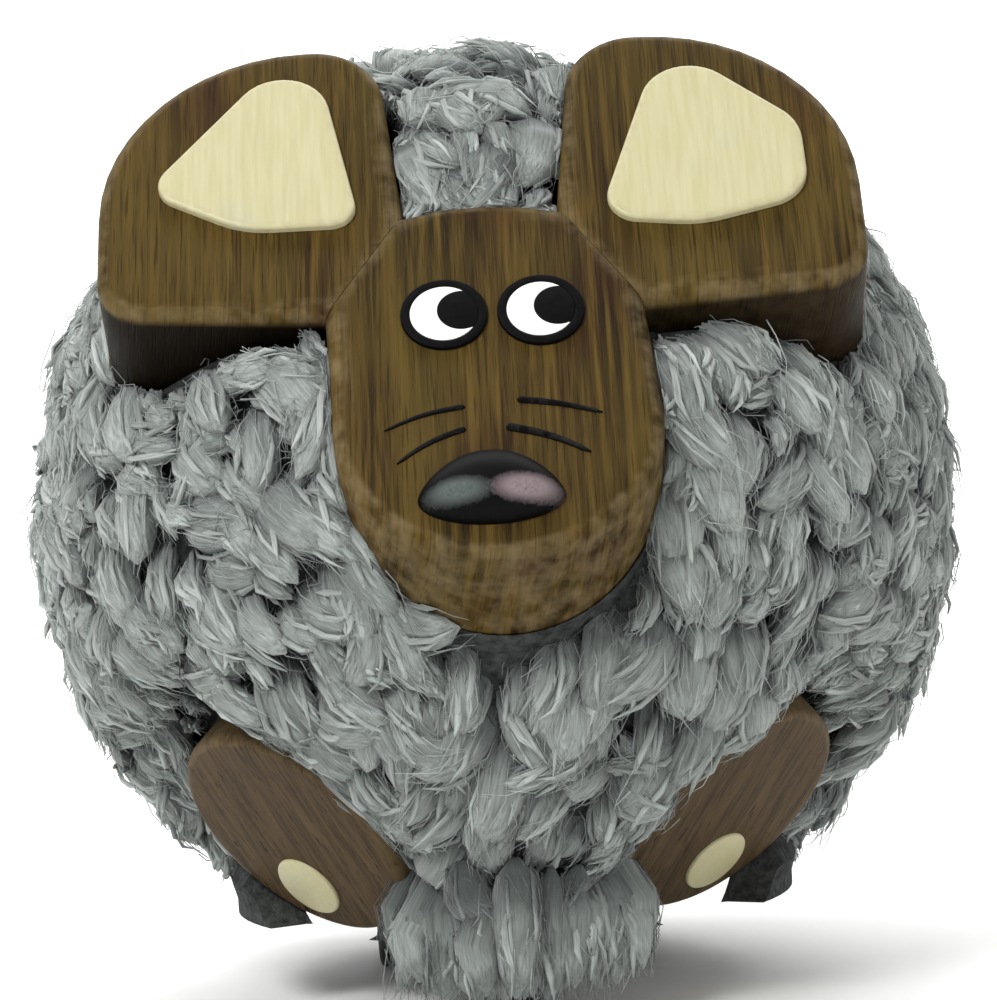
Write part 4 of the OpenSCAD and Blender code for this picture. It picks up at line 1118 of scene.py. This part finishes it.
class MOUSE_OT_feet(bpy.types.Operator):
    """Makes the feet from slices of walnut rod, each with a painted cream dot"""
    bl_idname = "mouse.feet"
    bl_label = "Feet"

    def execute(self, context):
        wood = context.scene.mouse_wood
        cream = cream_paint()
        for node, sole in SOLE.items():
            normal = sole.col[2].xyz
            bm, _ = flat_part(node, normal)
            depth = max((v.co - sole.translation).dot(-normal) for v in frame["nodes"][node].data.vertices)
            thicken(bm, normal, depth)
            round_edges(bm, rims(bm, normal), wood.round_over * 0.7, 4)
            round_edges(bm, rims(bm, -normal), wood.round_over * 0.4, 2)
            MOUSE_OT_head.mark_edges(bm, normal)
            obj = piece(f"{node}_slice", bm, rod_walnut(f"walnut_{node}", sole), "root", "walnut", node)
            sharpen(obj, 40)
        bm = copy_of("foot_dots")
        halves = []
        for sole in SOLE.values():
            normal = sole.col[2].xyz
            side = math.copysign(1, sole.translation.x)
            part = bm.copy()
            far = [v for v in part.verts if v.co.x * side < 0]
            bmesh.ops.delete(part, geom=far, context="VERTS")
            front = max(v.co.dot(normal) for v in part.verts)
            rest = [f for f in part.faces
                    if f.normal.dot(normal) < 0.999 or abs(f.verts[0].co.dot(normal) - front) > 1e-5]
            bmesh.ops.delete(part, geom=rest, context="FACES")
            bmesh.ops.dissolve_limit(part, angle_limit=math.radians(0.2), verts=part.verts, edges=part.edges)
            round_edges(part, thicken(part, normal, 0.5 * MM), 0.3 * MM, 3)
            halves.append(part)
        mesh = bpy.data.meshes.new("foot_dots_cream")
        both = bmesh.new()
        for part in halves:
            part.to_mesh(mesh)
            both.from_mesh(mesh)
            part.free()
        bm.free()
        both.verts.layers.float.new("edge")
        both.to_mesh(mesh)
        both.free()
        sharpen(place("foot_dots_cream", mesh, cream, "root", "cream_paint", "foot_dots"))
        return {"FINISHED"}


def rod_walnut(name, sole):
    """Walnut for a slice of rod: paler and pinker than the board, with small dry cracks."""
    wood = bpy.context.scene.mouse_wood
    r = Recipe(name, wood.middle, 0.55, Specular_IOR_Level=0.08)
    bands = r.grain((2.6 * MM, 26 * MM, 4 * MM), sole, detail=3, bend=1.5)
    streaks = r.grain((0.5 * MM, 9 * MM, 0.8 * MM), sole, detail=4, rough=0.6)
    pores = r.grain((0.22 * MM, 2.2 * MM, 0.3 * MM), sole, detail=1)
    cracks = r.grain((0.8 * MM, 5 * MM, 0.8 * MM), sole @ Matrix.Translation((3 * MM, 1 * MM, 0)), detail=2)
    ground = r.mix(r.between(bands, 0.35, 0.65), (0.036, 0.022, 0.010), (0.086, 0.057, 0.028))
    ground = r.mix(r.between(streaks, 0.45, 0.7, 0.0, 0.7), ground, (0.125, 0.088, 0.050))
    dark = r.math("MAXIMUM", r.between(pores, 0.62, 0.7, 0.0, 0.6), r.between(cracks, 0.68, 0.72))
    ground = r.mix(dark, ground, (0.016, 0.010, 0.006))
    wear = r.grain((1.8 * MM,) * 3, sole, detail=4)
    rubbed = r.math("MULTIPLY", r.attribute("edge"), r.between(wear, 0.3, 0.7))
    r.colour(r.mix(r.math("MULTIPLY", rubbed, 0.6), ground, (0.15, 0.105, 0.050)))
    r.roughness(r.between(streaks, 0.3, 0.7, 0.45, 0.65))
    r.bump(r.math("SUBTRACT", r.math("MULTIPLY", streaks, 0.4), dark), 0.15 * MM, 0.6)
    return r.mat


class MOUSE_OT_key(bpy.types.Operator):
    """Makes the winding key, with a turned hub and soft-edged wings"""
    bl_idname = "mouse.key"
    bl_label = "Key"

    def execute(self, context):
        steel = metal("key_steel", (0.62, 0.62, 0.64), 0.25, (4.0, 0.2, 0.2))
        bm, normal = flat_sheet("key", UP)
        low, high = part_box("key")
        wing = 2 * MM
        round_edges(bm, thicken(bm, normal, wing) + rims(bm, -normal), 0.45 * MM, 3)
        points = [v.co for v in frame["nodes"]["key"].data.vertices]
        level = (low.z + high.z) / 2
        hub = [p.y for p in points if abs(p.z - level) > 2 * MM]
        radius = max(abs(p.z - level) for p in points)
        profile = ((0.47, 0), (0.86, 0), (1.0, 0.10), (1.0, 0.22), (0.93, 0.27), (0.93, 0.33), (1.0, 0.38),
                   (1.0, 0.9), (0.9, 1.0), (0.0, 1.0))
        turned = turned_ring(profile, radius, min(hub), max(hub) - min(hub), level)
        mesh = bpy.data.meshes.new("key_steel")
        turned.to_mesh(mesh)
        turned.free()
        bm.from_mesh(mesh)
        obj = piece("key_polished", bm, steel, "winder", "key_steel", "key")
        sharpen(obj)
        return {"FINISHED"}


def turned_ring(profile, radius, start, length, high):
    """A turned piece about a line that runs backwards at a height, from (radius, length) shares."""
    bm = bmesh.new()
    points = [bm.verts.new((r * radius, start + t * length, high)) for r, t in profile]
    line = [bm.edges.new(pair) for pair in zip(points, points[1:])]
    bmesh.ops.spin(bm, geom=points + line, cent=(0, 0, high), axis=(0, 1, 0), dvec=(0, 0, 0),
                   angle=2 * math.pi, steps=40, use_merge=True)
    bmesh.ops.remove_doubles(bm, verts=bm.verts, dist=1e-6)
    loops = [e for e in bm.edges if e.is_boundary]
    if loops:
        bmesh.ops.holes_fill(bm, edges=loops)
    bmesh.ops.recalc_face_normals(bm, faces=bm.faces)
    return bm


class MOUSE_OT_wheels(bpy.types.Operator):
    """Makes the tyres and the front roller with grooved treads"""
    bl_idname = "mouse.wheels"
    bl_label = "Wheels"

    def execute(self, context):
        rubber = moulded("rubber", (0.022, 0.022, 0.022), 0.7, 0.25)
        low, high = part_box("tyres")
        radius = (high.z - low.z) / 2
        axle = Vector((0, (low.y + high.y) / 2, (low.z + high.z) / 2))
        width = 4.5 * MM
        inner = 7.2 * MM
        bm = bmesh.new()
        for x in (low.x, high.x - width):
            self.tread(bm, axle, x, width, inner, radius, 3, 0.45 * MM)
        piece("tyres_rubber", bm, rubber, "drive_axle", "rubber", "tyres")
        low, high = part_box("front_roller")
        axle = (low + high) / 2
        bm = bmesh.new()
        self.tread(bm, axle, low.x, high.x - low.x, 0.85 * MM, (high.z - low.z) / 2, 2, 0.35 * MM)
        piece("front_roller_rubber", bm, rubber, "roller", "rubber", "front_roller")
        return {"FINISHED"}

    @staticmethod
    def tread(bm, axle, start, width, inner, outer, grooves, depth):
        """A ring of rubber about a level line, with round shoulders and grooves round its tread."""
        shoulder = min(0.6 * MM, width / 6)
        outline = [(inner, 0), (outer - shoulder, 0), (outer - 0.3 * shoulder, 0.3 * shoulder),
                   (outer, shoulder)]
        run = (width - 2 * shoulder) / (2 * grooves + 1)
        for k in range(grooves):
            left = shoulder + (2 * k + 1) * run
            outline += [(outer, left), (outer - depth, left + 0.15 * run),
                        (outer - depth, left + 0.85 * run), (outer, left + run)]
        outline += [(outer, width - shoulder), (outer - 0.3 * shoulder, width - 0.3 * shoulder),
                    (outer - shoulder, width), (inner, width)]
        points = [bm.verts.new((start + t, axle.y, axle.z + r)) for r, t in outline]
        loop = [bm.edges.new((a, b)) for a, b in zip(points, points[1:] + points[:1])]
        bmesh.ops.spin(bm, geom=points + loop, cent=axle, axis=(1, 0, 0), dvec=(0, 0, 0), angle=2 * math.pi,
                       steps=56, use_merge=True)
        bmesh.ops.remove_doubles(bm, verts=bm.verts, dist=1e-6)
        bmesh.ops.recalc_face_normals(bm, faces=bm.faces)


class MOUSE_OT_frame_finishes(bpy.types.Operator):
    """Gives each CAD part that stays in sight or inside its own finish"""
    bl_idname = "mouse.frame_finishes"
    bl_label = "Frame Finishes"

    def execute(self, context):
        slots = {part["node"]: part["material_slot"] for part in frame["record"]["subparts"]}
        finishes = {
            "moulding": moulded("moulding", (0.10, 0.105, 0.115), 0.5),
            "tinplate": metal("tinplate", (0.72, 0.73, 0.74), 0.32, (6.0, 0.3, 0.3)),
            "screw_steel": metal("screw_steel", (0.56, 0.56, 0.58), 0.28, (0.3, 0.3, 0.3)),
            "dowel_wood": walnut("dowel_birch", FACE),
            "motor_steel": metal("motor_steel", (0.50, 0.51, 0.53), 0.35),
            "brass": metal("brass", (0.78, 0.55, 0.22), 0.26, (2.0, 0.2, 0.2), (0.3, 0.2, 0.08)),
            "spring_steel": metal("spring_steel", (0.20, 0.25, 0.36), 0.25),
            "key_steel": metal("plain_key_steel", (0.62, 0.62, 0.64), 0.25),
            "rubber": moulded("plain_rubber", (0.022, 0.022, 0.022), 0.7, 0.25),
        }
        for node, obj in frame["nodes"].items():
            if slots[node] in finishes:
                obj.data.materials.clear()
                obj.data.materials.append(finishes[slots[node]])
        return {"FINISHED"}


class MOUSE_OT_stage(bpy.types.Operator):
    """Sets the pale floor and backdrop, the soft lights and the camera"""
    bl_idname = "mouse.stage"
    bl_label = "Stage"

    def execute(self, context):
        stage = context.scene.mouse_stage
        self.backdrop()
        self.lights(stage)
        ahead = Vector((0, math.cos(stage.height), -math.sin(stage.height)))
        up = Vector((0, math.sin(stage.height), math.cos(stage.height)))
        right = Vector((1, 0, 0))
        level = math.cos(stage.roll), math.sin(stage.roll)
        turned_up = up * level[0] + right * level[1]
        turned_right = right * level[0] - up * level[1]
        data = bpy.data.cameras.new("camera")
        data.lens, data.sensor_width, data.sensor_fit = stage.lens, 36, "HORIZONTAL"
        data.shift_x, data.shift_y = 0.0035, 0.005
        data.clip_start = 0.01
        camera = bpy.data.objects.new("camera", data)
        context.scene.collection.objects.link(camera)
        turn = Matrix((turned_right, turned_up, -ahead)).transposed()
        camera.matrix_world = Matrix.Translation(BALL_AT - ahead * stage.distance) @ turn.to_4x4()
        context.scene.camera = camera
        context.scene.view_settings.view_transform = "Standard"
        return {"FINISHED"}

    @staticmethod
    def backdrop():
        half, near, far, curve, tall = 2.5, -1.6, 1.1, 0.5, 2.2
        bm = bmesh.new()
        a, b = bm.verts.new((-half, near, 0)), bm.verts.new((-half, far, 0))
        bm.edges.new((a, b))
        bmesh.ops.spin(bm, geom=[b], cent=(-half, far, curve), axis=(1, 0, 0), dvec=(0, 0, 0),
                       angle=math.pi / 2, steps=16)
        top = max(bm.verts, key=lambda v: (v.co.z, v.co.y))
        bm.edges.new((top, bm.verts.new((-half, far + curve, tall))))
        made = bmesh.ops.extrude_edge_only(bm, edges=bm.edges[:])["geom"]
        moved = [v for v in made if isinstance(v, bmesh.types.BMVert)]
        bmesh.ops.translate(bm, vec=(2 * half, 0, 0), verts=moved)
        bmesh.ops.recalc_face_normals(bm, faces=bm.faces)
        r = Recipe("backdrop_paper", (0.86, 0.86, 0.85), 0.9)
        clouds = r.between(r.grain((0.3,) * 3, detail=2), 0.3, 0.7)
        r.colour(r.mix(clouds, (0.85, 0.85, 0.84), (0.88, 0.88, 0.87)))
        mesh = bpy.data.meshes.new("backdrop")
        bm.to_mesh(mesh)
        bm.free()
        mesh.materials.append(r.mat)
        mesh.shade_smooth()
        obj = bpy.data.objects.new("backdrop", mesh)
        bpy.context.scene.collection.objects.link(obj)

    @staticmethod
    def lights(stage):
        world = bpy.data.worlds.new("daylight")
        bpy.context.scene.world = world
        world.use_nodes = True
        world.node_tree.nodes["Background"].inputs["Color"].default_value = (1, 1, 1, 1)
        world.node_tree.nodes["Background"].inputs["Strength"].default_value = stage.daylight
        for name, at, size, power in (
            ("key_light", (-0.40, -0.60, 0.70), 0.4, 6.6),
            ("fill_light", (0.7, -0.5, 0.3), 0.6, 1.0),
            ("back_light", (0.2, 0.8, 0.7), 0.6, 2.0),
        ):
            data = bpy.data.lights.new(name, "AREA")
            data.shape, data.size, data.energy = "DISK", size, power
            light = bpy.data.objects.new(name, data)
            bpy.context.scene.collection.objects.link(light)
            light.location = at
            light.rotation_euler = (Vector(at) - BALL_AT).to_track_quat("Z", "Y").to_euler()
        data = bpy.data.lights.new("backdrop_light", "AREA")
        data.shape, data.size, data.size_y, data.energy = "RECTANGLE", 3.0, 0.6, 60
        light = bpy.data.objects.new("backdrop_light", data)
        bpy.context.scene.collection.objects.link(light)
        light.location = (0, 0.75, 1.7)
        light.rotation_euler = (math.radians(38), 0, 0)


class MOUSE_PT_panel(bpy.types.Panel):
    """Lists the mouse's settings and pieces in the sidebar"""
    bl_label = "Clockwork Mouse"
    bl_idname = "MOUSE_PT_panel"
    bl_space_type = "VIEW_3D"
    bl_region_type = "UI"
    bl_category = "Mouse"

    def draw(self, context):
        for name, group in SETTINGS.items():
            box = self.layout.box()
            for prop in group.__annotations__:
                box.prop(getattr(context.scene, name), prop)
        for operator in OPERATORS:
            self.layout.operator(operator.bl_idname)


SETTINGS = {"mouse_wool": MouseWool, "mouse_wood": MouseWood, "mouse_paint": MousePaint,
            "mouse_stage": MouseStage}
OPERATORS = (
    MOUSE_OT_wool_backing, MOUSE_OT_wool_tufts, MOUSE_OT_head, MOUSE_OT_ear_panels, MOUSE_OT_eyes,
    MOUSE_OT_nose, MOUSE_OT_whiskers, MOUSE_OT_feet, MOUSE_OT_key, MOUSE_OT_wheels,
    MOUSE_OT_frame_finishes, MOUSE_OT_stage,
)


def register():
    for name, group in SETTINGS.items():
        bpy.utils.register_class(group)
        setattr(bpy.types.Scene, name, PointerProperty(type=group))
    for cls in (*OPERATORS, MOUSE_PT_panel):
        bpy.utils.register_class(cls)


def unregister():
    for cls in (MOUSE_PT_panel, *reversed(OPERATORS)):
        bpy.utils.unregister_class(cls)
    for name, group in reversed(SETTINGS.items()):
        delattr(bpy.types.Scene, name)
        bpy.utils.unregister_class(group)


def main():
    register()
    for operator in OPERATORS:
        group, name = operator.bl_idname.split(".")
        getattr(getattr(bpy.ops, group), name)()


if __name__ == "__main__":
    main()
